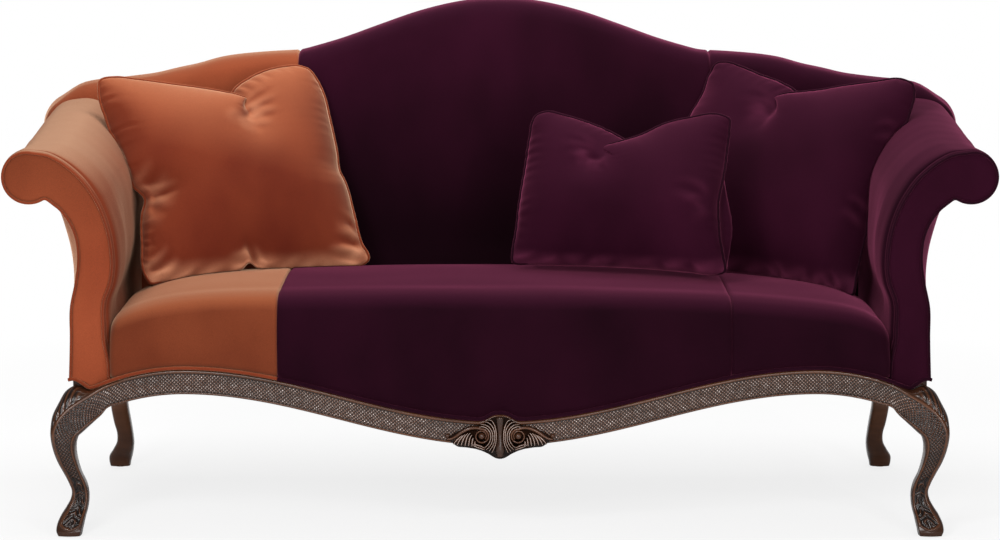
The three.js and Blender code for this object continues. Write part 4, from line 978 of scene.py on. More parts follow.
LARGE_RIM = (
    [(-0.96, 0.97, 0), (-0.86, 0.985, 0), (-0.72, 0.955, 0), (-0.5, 0.89, 0), (-0.27, 0.83, -2),
     (-0.15, 0.78, -6), (-0.09, 0.735, -7), (-0.16, 0.70, -2), (-0.28, 0.67, 16), (-0.2, 0.695, 20),
     (-0.05, 0.735, 16), (0.1, 0.78, 8), (0.29, 0.845, 2), (0.6, 0.92, 0), (0.84, 0.965, 0)],
    [(0.955, 0.93, 0), (1.0, 0.82, 0), (1.0, 0.68, 0), (0.97, 0.45, 0), (0.925, 0.2, 0), (0.885, -0.1, 0),
     (0.86, -0.5, 0), (0.86, -0.85, 0)],
    [(0.86, -1.07, 0), (0.78, -1.06, -8), (0.55, -1.02, -22), (0.2, -0.98, -30), (-0.2, -0.96, -30),
     (-0.6, -0.97, -22), (-0.9, -0.98, -8)],
    [(-1.0, -0.98, 0), (-1.03, -0.85, 0), (-1.08, -0.6, 0), (-1.1, -0.2, 0), (-1.12, 0.2, 0),
     (-1.1, 0.42, 0), (-1.03, 0.65, 0), (-1.0, 0.88, 0)],
)
SMALL_RIM = (
    [(-0.965, 0.91, 0), (-0.88, 0.955, 0), (-0.71, 0.92, 0), (-0.45, 0.83, 0), (-0.24, 0.73, -2),
     (-0.11, 0.655, -7), (-0.04, 0.60, -8), (-0.12, 0.56, -2), (-0.35, 0.46, 16), (-0.27, 0.50, 20),
     (-0.12, 0.57, 18), (0.05, 0.68, 8), (0.28, 0.86, 2), (0.51, 0.955, 0), (0.77, 1.01, 0)],
    [(0.87, 0.97, 0), (0.89, 0.85, 0), (0.89, 0.62, 2), (0.89, 0.38, 6), (0.88, 0.12, 14),
     (0.865, -0.14, 20), (0.885, -0.4, 20), (0.915, -0.62, 16), (0.955, -0.82, 8)],
    [(0.97, -0.98, 2), (0.88, -1.0, -4), (0.64, -0.96, -14), (0.21, -0.92, -20), (-0.24, -0.92, -20),
     (-0.85, -0.97, -8)],
    [(-1.03, -0.98, 0), (-1.045, -0.88, 0), (-1.035, -0.6, 0), (-1.035, -0.2, 0), (-1.02, 0.2, 0),
     (-1.01, 0.65, 0), (-1.0, 0.82, 0)],
)


def rim_points(rim, width, height, cells):
    """Points round a cushion's rim, cells on each side: across, backwards and up from its middle."""
    rows = np.array([row for side in rim for row in side]) * (width / 2, height / 2, 1)
    closed = np.concatenate([rows, rows[:1]])
    way = along(closed)
    corners = np.cumsum([0] + [len(side) for side in rim])
    places = np.interp(way, way[corners], range(5))
    wrapped = np.concatenate([rows[-3:], closed, rows[1:4]])
    around = np.concatenate([places[-4:-1] - 4, places, places[1:4] + 4])
    points = spline(around, wrapped, np.arange(4 * cells) / cells)[:, [0, 2, 1]] * (1, -1, 1)
    return points + wave(points, 7.0, 3.0)[:, None] * RIM_RIPPLE


def cushion_grid(rim, width, height, depth, cells):
    """Both faces of a cushion before it is filled, and the cut pieces that they are sewn from."""
    ring = rim_points(rim, width, height, cells)
    ring = np.concatenate([ring, ring[:1]])
    top, right, bottom, left = (ring[k * cells: (k + 1) * cells + 1] for k in range(4))
    bottom, left = bottom[::-1], left[::-1]
    share = np.linspace(0, 1, cells + 1)
    s, r = (grid[..., None] for grid in np.meshgrid(share, share))

    def bend(line):
        """How far a side strays from the straight line between its corners."""
        return line - lerp(line[0], line[-1], share[:, None])

    flat = (lerp(lerp(top[0], top[-1], s), lerp(bottom[0], bottom[-1], s), r)
            + bend(top)[None] * (1 - r) ** FOLD_FADE + bend(bottom)[None] * r ** 2
            + bend(left)[:, None] * (1 - s) ** 2 + bend(right)[:, None] * s ** 2)
    u, v = 2 * s - 1, 1 - 2 * r
    swell = depth / 2 * ((1 - u * u) * (1 - v * v)) ** 0.5 * (1 - CUSHION_FOOT_FULLNESS * v)
    along_y = np.array([0.0, 1.0, 0.0])
    cut = np.concatenate([u * width / 2, 0 * u, v * height / 2], axis=2) * PATTERN_SHARE
    apart = along_y * PATTERN_GAP / 2
    return [flat - swell * along_y, flat + swell * along_y], [cut - apart, cut + apart]


def sewn(front, rear):
    """One closed skin from two square faces that share their rim."""
    n = len(front) - 1
    index = np.arange((n + 1) ** 2).reshape(n + 1, n + 1)
    other = index.copy()
    other[1:-1, 1:-1] = np.arange((n - 1) ** 2).reshape(n - 1, n - 1) + (n + 1) ** 2

    def cells(grid):
        return np.stack([grid[:-1, :-1], grid[1:, :-1], grid[1:, 1:], grid[:-1, 1:]], -1)

    faces = np.stack([cells(index), cells(other)[..., [0, 3, 2, 1]]], 2)
    points = np.concatenate([front.reshape(-1, 3), rear[1:-1, 1:-1].reshape(-1, 3)])
    return points, faces.reshape(-1, 4).tolist()


def unsewn(points, cells):
    """The two faces of a skin again."""
    count = (cells + 1) ** 2
    front = points[:count].reshape(cells + 1, cells + 1, 3)
    rear = front.copy()
    rear[1:-1, 1:-1] = points[count:].reshape(cells - 1, cells - 1, 3)
    return front.copy(), rear


def filled(faces, cuts):
    """The cushion blown up from its cut pieces, with its rim held."""
    cells = len(faces[0]) - 1
    points, polygons = sewn(*faces)
    cut_points, _ = sewn(*cuts)
    scale = CUSHION_SCALE / 1000
    mesh = bpy.data.meshes.new("cushion_skin")
    mesh.from_pydata((points * scale).tolist(), [], polygons)
    obj = added("cushion_skin", mesh)
    obj.shape_key_add(name="sewn")
    pattern = obj.shape_key_add(name="pattern")
    pattern.data.foreach_set("co", (cut_points * scale).ravel())
    n = cells + 1
    rim = [i * n + j for i in range(n) for j in range(n) if i in (0, cells) or j in (0, cells)]
    obj.vertex_groups.new(name="rim").add(rim, 1.0, "REPLACE")
    settings = obj.modifiers.new("fill", "CLOTH").settings
    settings.quality = 6
    settings.mass = 0.3
    settings.tension_stiffness = 15
    settings.compression_stiffness = 15
    settings.shear_stiffness = 5
    settings.bending_stiffness = 0.5
    settings.air_damping = 1.0
    settings.use_pressure = True
    settings.uniform_pressure_force = CUSHION_PRESSURE
    settings.vertex_group_mass = "rim"
    settings.rest_shape_key = pattern
    settings.effector_weights.gravity = 0
    for step in range(1, CUSHION_FRAMES + 1):
        bpy.context.scene.frame_set(step)
    grown = obj.evaluated_get(bpy.context.evaluated_depsgraph_get())
    move = taken(grown.data.vertices, "co", 3) / scale - points
    bpy.context.scene.frame_set(1)
    bpy.data.objects.remove(obj)
    length = np.maximum(np.linalg.norm(move, axis=1, keepdims=True), 1e-6)
    return unsewn(points + move * np.minimum(1.0, CUSHION_MOVE / length), cells)


def turned(points, yaw, lean, roll):
    """Points turned about y, then leaned back about x, then turned about z. Angles in degrees."""
    yaw, lean, roll = (math.radians(a) for a in (yaw, -lean, roll))
    x, y, z = np.moveaxis(points, -1, 0)
    x, z = x * math.cos(roll) + z * math.sin(roll), -x * math.sin(roll) + z * math.cos(roll)
    y, z = y * math.cos(lean) - z * math.sin(lean), y * math.sin(lean) + z * math.cos(lean)
    x, y = x * math.cos(yaw) - y * math.sin(yaw), x * math.sin(yaw) + y * math.cos(yaw)
    return np.stack([x, y, z], -1)


def surface(*objects):
    """The skins of some pieces, to be felt for with rays."""
    points, faces = [], []
    for obj in objects:
        start = len(points)
        points += [v.co.copy() for v in obj.data.vertices]
        faces += [tuple(i + start for i in polygon.vertices) for polygon in obj.data.polygons]
    return BVHTree.FromPolygons(points, faces)


def held_off(points, skin, way):
    """Points kept a little short of a skin that lies along one way, felt for from behind them."""
    way = np.array(way, float)
    moved = points.reshape(-1, 3).copy()
    starts = place(moved) - way * REST_REACH / 1000
    limit = (REST_REACH + REST_GAP) / 1000
    for k, start in enumerate(starts):
        hit = skin.ray_cast(Vector(start), Vector(way), limit)
        if hit[0] is not None:
            moved[k] -= way * (limit - hit[3]) * 1000
    return moved.reshape(points.shape)


def finer(face):
    """A square face with twice as many cells."""
    n = len(face)
    at = np.linspace(0, n - 1, 2 * n - 1)
    face = spline(np.arange(n), face, at)
    return np.swapaxes(spline(np.arange(n), np.swapaxes(face, 0, 1), at), 0, 1)


def over_face(face):
    """How far each point of a square face lies across and up, and one that falls to nought at the rim."""
    share = np.linspace(-1, 1, len(face))
    u, v = np.meshgrid(share, -share)
    return u, v, np.minimum(1, 12 * (1 - np.abs(u))) * np.minimum(1, 12 * (1 - np.abs(v)))


def spot(u, v, x, z, across, up):
    """A soft round spot at a place, with its reach across and up."""
    return np.exp(-((u - x) / across) ** 2 - ((v - z) / up) ** 2)


def creased(face, width, height, creases, dents):
    """A front face with creases pressed in and with soft dents, and the pale sheen painted on its pile.

    A crease runs from one place to another, as shares across and up, with its depth and its width.
    A dent is a place, its depth, and its reach across and up as shares.
    """
    u, v, inside = over_face(face)
    sink = np.zeros_like(u)
    foot_start, foot_reach = PALE_FOOT
    # A pale sheen is painted along the face's foot, and below on the ridges beside its creases
    painted_sheen = ease((-v - foot_start) / foot_reach) * (0.6 + 0.4 * wave(face, 14.0, 1.0))
    half = np.array([width / 2, height / 2])
    for x1, z1, x2, z2, depth, reach in creases:
        start = half * (x1, z1)
        run = half * (x2, z2) - start
        length = float(np.hypot(*run))
        run /= length
        px, pz = u * width / 2 - start[0], v * height / 2 - start[1]
        way = px * run[0] + pz * run[1]
        bend = CREASE_BEND * length * np.sin(way / length * 4)
        aside = np.abs(px * -run[1] + pz * run[0] + bend) / reach
        fade = ease((way + 2 * reach) / (3 * reach)) * (1 - ease(way / length)) ** 0.7
        ridge = fade * np.exp(-((aside - RIDGE_PLACE) / RIDGE_WIDTH) ** 2)
        sink += depth * (fade * np.exp(-aside ** 2) - 0.5 * ridge)
        painted_sheen += 0.06 * depth * ridge
    for x, z, depth, across, up in dents:
        sink += depth * spot(u, v, x, z, across, up)
    face = face.copy()
    face[..., 1] += sink * inside
    return face, np.clip(painted_sheen, 0, 1)


def sagging(face, drop):
    """A front face whose filling has sunk over its lower rim."""
    u, v, _ = over_face(face)
    start, reach = SAG_FOOT
    face[..., 2] -= drop * ease((-v - start) / reach) * np.sqrt(1 - u * u) * (1 - v * v) ** 0.35
    return face


def bulging(face, x, z, push, across, up):
    """A rear face pushed sideways round one place, given as shares across and up."""
    u, v, inside = over_face(face)
    face = face.copy()
    face[..., 0] += push * inside * spot(u, v, x, z, across, up)
    return face


def cushion(name, node, cloth, cord, rim, centre, size, turns, rests, creases, dents, sag, bulge=None):
    width, height, depth = size
    faces, cuts = cushion_grid(rim, width, height, depth, CUSHION_CELLS)
    faces = filled(faces, cuts)
    front, rear = (finer(face) for face in faces)
    front, painted_sheen = creased(front, width, height, creases, dents)
    if bulge:
        rear = bulging(rear, *bulge)
    front, rear = (turned(face, *turns) + np.array(centre, float) for face in (front, rear))
    front = sagging(front, sag)
    for skin, way in rests + rests:
        front, rear = (held_off(face, skin, way) for face in (front, rear))
    for rim_line in (np.s_[0], np.s_[-1], np.s_[:, 0], np.s_[:, -1]):
        rear[rim_line] = front[rim_line]
    points, polygons = sewn(front, rear)
    tones = np.concatenate([painted_sheen.ravel(), np.zeros(len(points) - painted_sheen.size)])
    piece = make(name, points, polygons, cloth, [node], node, tones, 0.6)
    route = np.concatenate([front[0, :-1], front[:-1, -1], front[-1, :0:-1], front[:0:-1, 0]])
    welt(name + "_welt", route, CUSHION_WELT, cord, sides=8, loop=True, body=node)
    return piece


on_seat = (surface(*seats), (0, 0, -1))
on_back = (surface(*backs), (0, 1, 0))
on_left_arm = (surface(arms[0]), (-1, 0, 0))
on_right_arm = (surface(arms[1]), (1, 0, 0))

ORANGE_CREASES = [
    (0.26, 0.66, 0.52, 0.60, 4, 10), (0.24, 0.62, 0.46, 0.42, 4, 11), (0.2, 0.6, 0.28, 0.3, 4, 13),
    (0.14, 0.62, 0.1, 0.36, 3, 13), (0.3, 0.74, 0.62, 0.78, 2, 10), (-0.98, -0.17, -0.66, -0.22, 6, 9),
    (-0.98, -0.1, -0.7, 0.05, 3, 10), (-0.95, -0.28, -0.75, -0.45, 3, 10), (0.0, -0.98, -0.04, -0.72, 9, 9),
    (-0.06, -0.96, -0.3, -0.8, 6, 9), (0.08, -0.96, 0.34, -0.86, 5, 9), (0.96, -0.8, 0.7, -0.66, 6, 9),
    (0.9, -0.9, 0.62, -0.8, 5, 8), (0.98, -0.66, 0.78, -0.5, 4, 8), (-0.8, -0.96, -0.62, -0.8, 6, 8),
    (-0.6, -0.97, -0.5, -0.85, 5, 7), (-0.93, -0.86, -0.72, -0.7, 6, 8),
]
LARGE_CREASES = [
    (-0.3, 0.66, -0.46, 0.62, 4, 10), (-0.27, 0.62, -0.4, 0.46, 4, 11), (-0.22, 0.6, -0.24, 0.34, 4, 13),
    (-0.34, 0.72, -0.6, 0.74, 2, 10), (0.2, -0.97, 0.14, -0.78, 6, 8), (0.5, -0.97, 0.56, -0.8, 6, 8),
    (0.78, -0.95, 0.7, -0.78, 6, 8), (0.97, -0.3, 0.76, -0.24, 5, 9), (0.96, 0.5, 0.8, 0.44, 3, 8),
]
SMALL_CREASES = [
    (-0.36, 0.46, -0.46, 0.3, 4, 9), (-0.33, 0.44, -0.36, 0.16, 4, 10), (-0.28, 0.45, -0.2, 0.2, 3, 10),
    (-0.4, 0.52, -0.62, 0.5, 3, 9), (-0.42, 0.6, -0.7, 0.68, 2, 9), (0.86, -0.16, 0.5, -0.02, 3, 10),
    (0.86, -0.24, 0.66, -0.34, 2, 10), (-0.9, -0.97, -0.72, -0.84, 5, 7),
    (-0.6, -0.97, -0.52, -0.84, 4, 7), (-0.2, -0.97, -0.14, -0.86, 4, 7), (0.4, -0.98, 0.36, -0.86, 4, 7),
    (0.7, -0.98, 0.64, -0.84, 4, 7),
]

cushion("cushion_orange", "pillow_orange", orange_cushion, orange_welt, ORANGE_RIM,
        centre=(-560, 478, 676), size=(482, 482, 150), turns=(18, 31, -3),
        rests=[on_seat, on_back, on_left_arm], creases=ORANGE_CREASES,
        dents=[(0.3, 0.5, 8, 0.2, 0.26), (-0.9, -0.18, 14, 0.2, 0.16), (0.0, -0.86, 12, 0.14, 0.14)],
        sag=48.0)
large = cushion("cushion_large", "pillow_purple_large", purple_cushion, purple_welt, LARGE_RIM,
                centre=(611, 480, 676), size=(474, 474, 150), turns=(-28, 26, 3),
                rests=[on_seat, on_back, on_right_arm], creases=LARGE_CREASES,
                dents=[(-0.34, 0.5, 9, 0.2, 0.26)], sag=42.0)
cushion("cushion_small", "pillow_purple_small", purple_cushion, purple_welt, SMALL_RIM,
        centre=(266, 296, 656), size=(436, 346, 120), turns=(-11, 27, 1.5),
        rests=[on_seat, (surface(large), (0, 1, 0))], creases=SMALL_CREASES,
        dents=[(-0.38, 0.34, 8, 0.18, 0.26)], sag=40.0, bulge=(0.84, -0.36, 48.0, 0.26, 0.6))


# Carved front: an apron and two cabriole legs in one run of wood

# A right leg from the apron to the foot. Each row is the outer bead, the inner bead, the outer and the
# inner edge of the leg as across and up, then the depth of the two beads and of the back.
LEG_SECTIONS = [
    (776, 301.0, 776, 254.0, 776, 301.5, 776, 254.0, -18, -18, 13),
    (792, 293.5, 784, 245.0, 794, 295.5, 784, 244.0, -20, -20, 22),
    (809, 284.0, 790, 239.0, 813, 289.0, 790, 237.5, -24, -24, 32),
    (828, 273.5, 797, 233.5, 837, 297.0, 797, 231.5, -30, -29, 37),
    (848, 260.5, 806, 227.0, 858, 287.0, 805, 224.0, -36, -34, 37),
    (864, 246.0, 816, 219.5, 872, 264.0, 814, 216.0, -41, -39, 33),
    (876, 229.0, 827, 211.0, 884, 238.0, 824, 207.0, -46, -44, 27),
    (882, 211.0, 835, 203.5, 887, 212.0, 832, 200.0, -48, -47, 19),
    (882, 193.0, 840, 190.0, 886, 193.0, 836.5, 187, -46, -46, 14),
    (878, 172.0, 840.5, 173, 882, 171.0, 837.5, 170, -41.5, -42, 11),
    (871, 149.0, 836.5, 151, 875, 148.0, 834.5, 148.0, -33.5, -34, 10.5),
    (861, 124.0, 829, 127.0, 863.5, 123, 828.5, 124, -23, -24, 13),
    (853, 103.0, 821.5, 104, 854.5, 102, 820.5, 103.0, -15, -15, 20),
    (848.5, 86.0, 818, 86.0, 850, 86.0, 817, 85.0, -10, -10, 24),
    (850, 70.0, 817.5, 69.0, 853, 70.0, 816.5, 68.0, -12, -12, 24),
    (857, 53.0, 820, 51.0, 861.5, 54, 818.5, 50.0, -19, -19, 22),
    (866, 38.0, 824.5, 36, 871, 39.0, 822, 36.0, -30, -30, 19),
    (873, 22.0, 828, 21.0, 878, 22.0, 825, 21.0, -39, -39, 15),
    (874, 10.0, 829.5, 10, 879, 10.0, 827.5, 10.0, -43, -43, 12),
    (871, 2.0, 832, 2.0, 876, 2.0, 829, 2.0, -42, -42, 9),
]
ANKLE_SECTION = 13
ANKLE_LEAF = 62.0
KNEE_LEAF_START = 205.0
KNEE_LEAF_END = 105.0
KNEE_LEAF_SINK = 2.4
TOE_RIM = 11.0
FIELD_TOP = 0.95
LEG_FIELD_TOP = 0.67
LEAF_TOP = 0.68
CARVED_STEP = 1.25
FACE_POINTS = 48
OUTSIDE_POINTS = 11
INSIDE_POINTS = 6
LEG_CROWN = 4.0
LEG_START = 330.0
LEG_EASE = 90.0
TOE_ARCH = 12.0
FIELD_SINK = 0.8
PLAIN_TONE = 0.5
KNEE_TONE = 0.72
EDGE_DEPTH_SHARE = 0.45
APRON_RUN = 770.0
APRON_BLEND = 20
# The plain back of the run: how far across from its outer edge, and how deep, as shares
CARVED_BACK = ((0.02, 0.5), (0.07, 0.85), (0.2, 1.0), (0.5, 1.0), (0.8, 1.0), (0.93, 0.85), (0.98, 0.5))


def half_sections():
    """Sections of the carved run from its middle out to the foot, and where the ankle is."""
    rows = []
    for x in np.arange(0, APRON_RUN, CARVED_STEP):
        top, face = float(apron_top(x)), float(apron_face(x))
        low = float(apron_line(x)) - APRON_HEIGHT
        rows.append((x, top, x, low, x, top, x, low, face, face, face + APRON_THICKNESS))
    knots = np.array(rows[-APRON_BLEND:-APRON_BLEND + 1] + LEG_SECTIONS)
    places = along((knots[:, 0:2] + knots[:, 2:4]) / 2)
    fine = spline(places, knots, np.arange(places[0], places[-1], CARVED_STEP))
    ankle = len(rows) - APRON_BLEND + int(places[ANKLE_SECTION + 1] / CARVED_STEP)
    return np.concatenate([rows[:-APRON_BLEND], fine, knots[-1:]]), ankle


def basket(s, w):
    """A weave of diamonds that pass over and under each other, from 0 in the hollows to 1."""
    a, b = (s + w) / WEAVE_PITCH, (s - w) / WEAVE_PITCH
    ia, ib = np.floor(a), np.floor(b)
    fa, fb = a - ia - 0.5, b - ib - 0.5
    over = (ia + ib) % 2 == 0
    across = np.where(over, fb, fa)
    along_strand = np.where(over, fa, fb)
    return np.sqrt(np.clip(1 - (2 * across) ** 2, 0, 1)) * (1 - 0.75 * (2 * along_strand) ** 2)


def ripples(phase):
    return 0.5 + 0.5 * np.cos(2 * math.pi * phase)


def leaf_ribs(s, t):
    """The ribs of a leaf, slanting away from its midrib."""
    away = np.abs(2 * t - 1)
    sway = 0.3 * np.sin(s / 6.1 + 2.2 * t) + 0.22 * np.sin(s / 3.7 - 5 * t)
    ribs = ripples(s / 15.0 - 1.7 * away + sway)
    fine = ripples(s / 5.3 - 3.0 * away + 2 * sway)
    midrib = np.clip(1 - away / 0.12, 0, 1)
    return np.maximum(ribs * (0.55 + 0.45 * fine), 0.8 * midrib)


def carved_front():
    sections, ankle = half_sections()
    outer, inner, far_outer, far_inner = (sections[:, None, k: k + 2] for k in (0, 2, 4, 6))
    y_outer, y_inner, y_back = (sections[:, None, k] for k in (8, 9, 10))
    s = along((outer + inner)[:, 0] / 2)[:, None]
    to_foot = s - s[-1]
    to_ankle = s - s[ankle]
    t = np.linspace(0, 1, FACE_POINTS)[None, :]
    arch = 1 - (2 * t - 1) ** 2
    width = np.linalg.norm(outer - inner, axis=2)
    w = t * width
    bead = np.where(width - w < w, TOP_BEAD_WIDTH, LOW_BEAD_WIDTH)
    to_toe = -TOE_RIM - TOE_ARCH * (1 - arch) - to_foot
    from_edge = np.minimum(np.minimum(w, width - w), np.maximum(to_toe, 0))
    on_leg = ease((to_foot + LEG_START) / LEG_EASE)
    beads = BEAD_RISE * np.sqrt(np.clip(1 - ((from_edge - bead / 2) / (bead / 2)) ** 2, 0, 1))
    inside = ease((from_edge - bead) / 1.6)
    on_leaf = ease((to_ankle + ANKLE_LEAF * (0.15 + 0.85 * t)) / 4)
    pattern = lerp(basket(s, w - width / 2), leaf_ribs(s, t), on_leaf)
    carving = beads + inside * (WEAVE_RISE * pattern - FIELD_SINK)
    y_face = y_inner + (y_outer - y_inner) * t - LEG_CROWN * on_leg * arch - carving
    front = stood(lerp(inner, outer, t[..., None]), y_face)
    # The weave runs from painted shade in its hollows up to a painted highlight on its tops
    peak = lerp(lerp(FIELD_TOP, LEG_FIELD_TOP, on_leg), LEAF_TOP, on_leaf) + 0.12 * wave(front, 6.5, 2.0)
    value = inside * peak * np.clip(pattern, 0, 1) ** 1.5
    value += (from_edge < bead) * (0.42 + 0.22 * beads / BEAD_RISE)
    value = np.where(to_toe < 0, PLAIN_TONE, value)
    knee = ease((to_ankle + KNEE_LEAF_START) / 25) * ease((-KNEE_LEAF_END - to_ankle) / 40)

    def rounded(near, far, y_near, turn, groove=0.0):
        """A rounded edge from the face round to a side."""
        y = y_near + (y_back - y_near) * EDGE_DEPTH_SHARE * (1 - np.cos(turn)) - groove
        return stood(lerp(near, far, np.sin(turn)[..., None]), y)

    turn = np.linspace(0, math.pi / 2, OUTSIDE_POINTS + 1)[None, 1:]
    veins = ripples(s / 12 + 1.6 * turn)
    groove = KNEE_LEAF_SINK * knee * (1 - veins) * np.sin(2 * np.minimum(turn, math.pi / 2 - 0.05)) ** 0.3
    parts = [front, rounded(outer, far_outer, y_outer, turn, groove)]
    for share, depth in CARVED_BACK:
        y = lerp(y_outer if share <= 0.5 else y_inner, y_back, EDGE_DEPTH_SHARE)
        parts.append(stood(lerp(far_outer, far_inner, share), lerp(y, y_back, depth)))
    turn = np.linspace(math.pi / 2, 0, INSIDE_POINTS + 1)[None, :-1]
    half = np.concatenate([*parts, rounded(inner, far_inner, y_inner, turn)], axis=1)
    plain = np.full((len(half), half.shape[1] - FACE_POINTS), PLAIN_TONE)
    # The knee's leaf: painted shade in its grooves, brown on its ribs
    plain[:, :OUTSIDE_POINTS] = PLAIN_TONE * (1 - knee) + KNEE_TONE * knee * veins
    values = np.concatenate([value, plain], axis=1)
    loft("carved_front", np.concatenate([on_side(half[:0:-1], -1), half]), walnut,
         ["apron", "front_leg_left", "front_leg_right"], values=np.concatenate([values[:0:-1], values]))


carved_front()

LEG_BLOCK = ((789, 847), (16, 72), (252, 344))
LEG_BLOCK_RADIUS = 4.0
LEG_BLOCK_POINTS = 32


def leg_block(word, side):
    """The block over a front leg, with rounded upright edges and eased ends."""
    low, high = np.array(LEG_BLOCK, float).T
    middle, half = (low + high) / 2 * (side, 1, 1), (high - low) / 2
    ring = circle(LEG_BLOCK_POINTS)
    trim = LEG_BLOCK_RADIUS / 2
    rings = []
    for z, cut in ((low[2], trim), (low[2] + trim, 0), (high[2] - trim, 0), (high[2], trim)):
        corners = middle[:2] + np.sign(ring) * (half[:2] - LEG_BLOCK_RADIUS - cut)
        rings.append(np.insert(corners + LEG_BLOCK_RADIUS * ring, 2, z, axis=1))
    loft(f"leg_block_{word}", rings, walnut, values=np.full((4, LEG_BLOCK_POINTS), PLAIN_TONE))


for word, side in SIDES:
    leg_block(word, side)


# Rear legs: the same curve, plain

# Each row is the two sides across, the height, then the front and the rear face
REAR_SECTIONS = [
    (806, 857, 343.5, 624.0, 697.0), (806, 857, 322.0, 624.0, 697.0), (807, 856, 303.0, 624.0, 691.0),
    (809, 853.5, 284, 624.4, 679.0), (811, 850, 262, 625.5, 668.5), (812, 848.5, 222, 628.1, 663),
    (813.5, 851.0, 147, 637.7, 676), (808.5, 845.5, 107, 647, 684.5), (806.0, 840.5, 81, 656.9, 693),
    (805.5, 842.5, 61, 666.5, 704.9), (808.5, 853, 41, 678.5, 722.9), (813.5, 863.5, 22, 692.9, 741),
    (817, 863, 9, 697, 738), (818, 861, 2, 698, 736),
]
REAR_LEG_POINTS = 40
REAR_LEG_STEP = 4.0
REAR_LEG_POWER = 0.55


def rear_leg(word, side):
    rows = np.array(REAR_SECTIONS)
    places = along(rows[:, 1:3])
    fine = spline(places, rows, np.concatenate([np.arange(0, places[-1], REAR_LEG_STEP), places[-1:]]))
    near, far, z, front, rear = fine.T[..., None]
    ring = circle(REAR_LEG_POINTS)
    across, deep = (np.sign(ring) * np.abs(ring) ** REAR_LEG_POWER).T
    x = (near + far) / 2 + (far - near) / 2 * across
    y = (front + rear) / 2 + (rear - front) / 2 * deep
    z = np.broadcast_to(z, x.shape)
    loft(f"rear_leg_curved_{word}", on_side(np.stack([x, y, z], 2), side), walnut, [f"rear_leg_{word}"],
         values=0.55 + 0.2 * ease((z - 30) / 160))


for word, side in SIDES:
    rear_leg(word, side)


# Scroll ornament at the middle of the apron

class Carving:
    """Small carved forms that lie on the apron's face, gathered in one mesh."""

    def __init__(self):
        self.points, self.faces, self.values = [], [], []

    def add(self, rings, values):
        """Adds a closed form through rings of points, with its relief."""
        first = len(self.points)
        self.points.extend(rings.reshape(-1, 3).tolist())
        self.values.extend(np.ravel(values).tolist())
        self.faces.extend([tuple(k + first for k in face) for face in ring_faces(*rings.shape[:2])])

    def reed(self, route, widths, rise, lift=0.0, steps=28, tone=1.0):
        """A rounded ridge along a route of across and up. widths run along it, and its ends taper."""
        route = smooth(route, steps)
        widths = np.interp(np.linspace(0, 1, steps), np.linspace(0, 1, len(widths)), widths)[:, None]
        side = -beside(unit(np.gradient(route, axis=0)))
        turn = np.linspace(0, math.pi, 9)
        flat = route[:, None] + side[:, None] * (widths / 2 * np.cos(turn))[..., None]
        high = rise * (widths / widths.max()) ** 0.7 * np.sin(turn)
        top = stood(flat, apron_face(flat[..., 0]) - lift - high)
        under = top[:, [-1, 0]].copy()
        under[..., 1] = apron_face(under[..., 0]) + 2 - lift * 0.5
        values = [*(0.25 + 0.75 * np.sin(turn)), 0.1, 0.1]
        self.add(np.concatenate([top, under], 1), np.tile(values, steps) * tone)

    def boss(self, middle, radius, rise, lift=0.0):
        """A round button."""
        rings = []
        for turn in np.linspace(0.05, math.pi / 2, 7)[::-1]:
            flat = middle + radius * math.sin(turn) * circle(20)
            rings.append(stood(flat, apron_face(flat[:, 0]) - lift - rise * math.cos(turn)))
        base = rings[0].copy()
        base[:, 1] = apron_face(base[:, 0]) + 2
        self.add(np.array([base] + rings), np.full((8, 20), 0.82))


SCROLL_MIDDLE = (36.0, 207.0)
SCROLL_REACH = 14.5
SCROLL_START = 8.6
SCROLL_TURNS = 1.35
SCROLL_POINTS = 70
PLATE_RISE = 4.0
PLATE_POINTS = 240
PLATE_OUTLINE = [
    (0, 243), (10, 242), (18, 239), (26, 232), (34, 226), (44, 226), (56, 224), (68, 220), (80, 214),
    (92, 207.5), (98, 202), (92, 196.5), (82, 189), (66, 188), (47, 185), (34, 181), (21, 175), (13.5, 170),
    (7.5, 166.5), (0, 165),
]
# The plate's edge: how far in, how high as a share, and its tone
PLATE_STEPS = ((0.0, -0.5, 0.3), (0.0, 0.3, 0.4), (0.6, 0.7, 0.5), (1.8, 0.95, 0.45), (3.5, 1.0, 0.4))
TENDRIL = [(44, 223.5), (55, 223.5), (67, 219.5), (78, 213), (88, 206), (97, 201.5), (104, 201)]
# The leaf's reeds beside a scroll, the reeds that wrap round its inner side, and the two below it
LEAF_REEDS = [
    [(73, 209), (80, 204), (87, 197), (91, 191)], [(68, 211), (74, 206), (80, 198), (84, 189.5)],
    [(63, 213), (68, 208), (73, 199), (76, 189)], [(58.5, 213.5), (63, 208), (66.5, 199), (68.5, 188.5)],
    [(55, 210), (58.5, 205), (60.5, 197), (61.5, 188)], [(52.5, 204), (54, 199.5), (54.8, 194), (55, 187.5)],
    [(49, 197.5), (49.2, 194.5), (49, 191), (48.5, 187)],
]
WRAP_REEDS = [
    [(44, 224), (36, 226.5), (27, 224), (20.5, 217), (18, 207), (20, 197), (25, 189), (31, 184)],
    [(38, 231), (29, 230), (21, 225), (15.5, 216), (14, 206), (16, 195), (21, 186.5), (27, 180.5)],
    [(31, 236.5), (23, 234.5), (16, 228.5), (11.5, 219), (10.3, 207), (12, 194), (16.5, 184.5), (21.5, 178)],
    [(24, 240.5), (17, 239), (11.8, 232), (8.6, 222), (7.2, 208), (8.6, 193), (12.2, 182.5), (16, 175)],
]
LOW_REEDS = [
    [(53, 191.5), (45, 190), (38, 187.8), (30, 183.5)],
    [(53, 188.86), (45, 185.6), (38, 183.4), (30, 180.42)],
]


